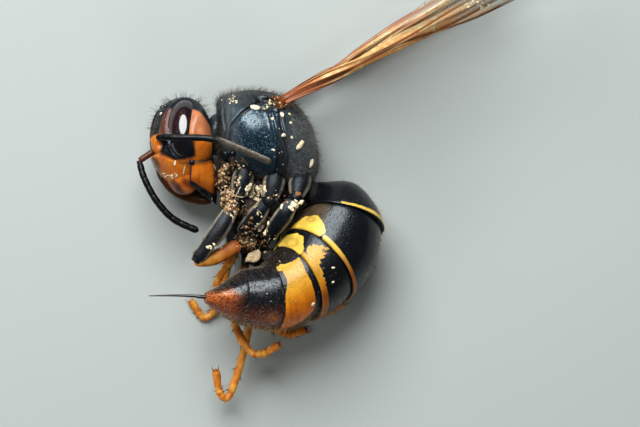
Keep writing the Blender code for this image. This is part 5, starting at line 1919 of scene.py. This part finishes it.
def scatterCrumbs():
    parts, tones = [], []
    for i, (x, y, z, wide, high, deep, tone) in enumerate(crumbs["clumps"]):
        ball = lumpyBall(40, 56, (wide, high, deep), 0.0, 300 + i, 0.16) + np.array((x, y, z))
        parts.append(closed(ball))
        tones.append(np.full(40 * 56, tone))
    points, faces = gather(parts)
    finish = makeCrumbFinish()
    addPiece("debris.clumps", points, faces, finish, "black_cuticle", (), {"tone": np.concatenate(tones)})
    tree = skinTree()
    wanted = []
    for x, y, wide, high, count, small, big, low, top in crumbs["patches"]:
        for _ in range(count):
            away = crumbRng.normal(size=2) * 0.5
            size = crumbRng.uniform(small, big)
            breadth = size * crumbRng.uniform(0.5, 1.0)
            spin = crumbRng.uniform(0, 180)
            tone = crumbRng.uniform(low, top)
            wanted.append((x + wide * away[0], y + high * away[1], size, breadth, spin, tone))
    wanted += crumbs["single"]
    parts, tones = [], []
    for i, (x, y, size, breadth, spin, tone) in enumerate(wanted):
        hit, normal = dropOn(tree, x, y)
        if hit is None:
            continue
        thick = min(size, breadth) * (0.7 if size < 0.3 else 0.25)
        ball = lumpyBall(9, 12, (size, breadth, thick), math.radians(spin), 400 + i, 0.38)
        tilt = Vector((0, 0, 1)).rotation_difference(normal if normal.z > 0 else -normal).to_matrix()
        ball = ball.reshape(-1, 3) @ np.array(tilt).T + np.array(hit) + np.array(normal) * thick * 0.25
        parts.append((ball, tubeFaces(9, 12)))
        tones.append(np.full(9 * 12, tone))
    for x, y, wide, high, count, low, top in crumbs["fibres"]:
        for _ in range(count):
            away = crumbRng.normal(size=2) * 0.5
            hit, normal = dropOn(tree, x + wide * away[0], y + high * away[1])
            if hit is None:
                continue
            turn = crumbRng.uniform(0, 2 * math.pi)
            length = crumbRng.uniform(0.15, 0.55)
            way = np.array((math.cos(turn), math.sin(turn), crumbRng.uniform(-0.1, 0.35)))
            bend = crumbRng.normal(size=3) * 0.12
            s = np.linspace(0, 1, 7)[:, None]
            path = np.array(hit) + np.array(normal) * 0.01 + way * length * (s - 0.3) + bend * s**2
            path[:, 2] = np.maximum(path[:, 2], 0.03)
            fibre = rod(path, np.full(7, crumbRng.uniform(0.010, 0.024)), 5)
            parts.append(fibre)
            tones.append(np.full(len(fibre[0]), crumbRng.uniform(low, top)))
    points, faces = gather(parts)
    addPiece("debris.crumbs", points, faces, finish, "black_cuticle", (), {"tone": np.concatenate(tones)})


scatterCrumbs()
print("crumbs done")


# Floor, light and camera
studio = {
    "floor": (0.40, 0.43, 0.415),
    "pixelsPerMillimetre": 20.5,
    "imageSize": (640, 427),
    "photoOrigin": (270, 200),  # where the maker's own origin falls in the picture
    "cameraHeight": 160.0,
    "worldStrength": 0.11,
}


def addFloor():
    mesh = bpy.data.meshes.new("paleFloor")
    size = 0.3
    mesh.from_pydata(
        [(-size, -size, 0), (size, -size, 0), (size, size, 0), (-size, size, 0)], [],
        [(0, 1, 2, 3)],
    )
    made, tree, shader = newMaterial("paleFloorPaint")
    noise = noiseAt(tree, 0.05)
    low = tuple(c * 0.96 for c in studio["floor"])
    tree.links.new(mixColour(tree, noise, studio["floor"], low), shader.inputs["Base Color"])
    shader.inputs["Roughness"].default_value = 0.9
    mesh.materials.append(made)
    floor = bpy.data.objects.new("paleFloor", mesh)
    bpy.context.scene.collection.objects.link(floor)


def addSoftbox(name, place, size, power, colour=(1, 1, 1), glossy=True):
    light = bpy.data.lights.new(name, "AREA")
    light.shape = "ELLIPSE"
    light.size, light.size_y = size[0] * 0.001, size[1] * 0.001
    light.energy = power
    light.color = colour
    lamp = bpy.data.objects.new(name, light)
    middle = Vector((-4.0, -1.0, 2.5)) * 0.001
    lamp.location = Vector(place) * 0.001
    lamp.visible_glossy = glossy
    lamp.rotation_euler = (middle - lamp.location).to_track_quat("-Z", "Y").to_euler()
    bpy.context.scene.collection.objects.link(lamp)


def addCamera():
    wide, high = studio["imageSize"]
    scale = studio["pixelsPerMillimetre"]
    centre = np.array((wide / 2 - studio["photoOrigin"][0], studio["photoOrigin"][1] - high / 2)) / scale
    centre = centre + body["shift"][:2]
    camera = bpy.data.cameras.new("camera")
    camera.sensor_width = 36
    camera.lens = 36 * studio["cameraHeight"] / (wide / scale)
    camera.clip_start = 0.001
    holder = bpy.data.objects.new("camera", camera)
    holder.location = (centre[0] * 0.001, centre[1] * 0.001, (studio["cameraHeight"] + 3.0) * 0.001)
    bpy.context.scene.collection.objects.link(holder)
    bpy.context.scene.camera = holder


addFloor()
addSoftbox("keyBox", (-24, 79, 102), (110, 112), 0.275, (0.97, 0.99, 1.0))
addSoftbox("fillBox", (-100, -30, 70), (60, 60), 0.026, (1.0, 0.99, 0.97), False)
addSoftbox("lowBox", (30, -100, 70), (60, 40), 0.022, (1.0, 0.99, 0.97), False)
addCamera()
world = bpy.data.worlds.new("softRoom")
world.use_nodes = True
world.node_tree.nodes["Background"].inputs[0].default_value = (0.90, 0.95, 0.97, 1)
world.node_tree.nodes["Background"].inputs[1].default_value = studio["worldStrength"]
bpy.context.scene.world = world
bpy.context.scene.view_settings.view_transform = "Standard"
bpy.context.scene.view_settings.look = "Medium High Contrast"
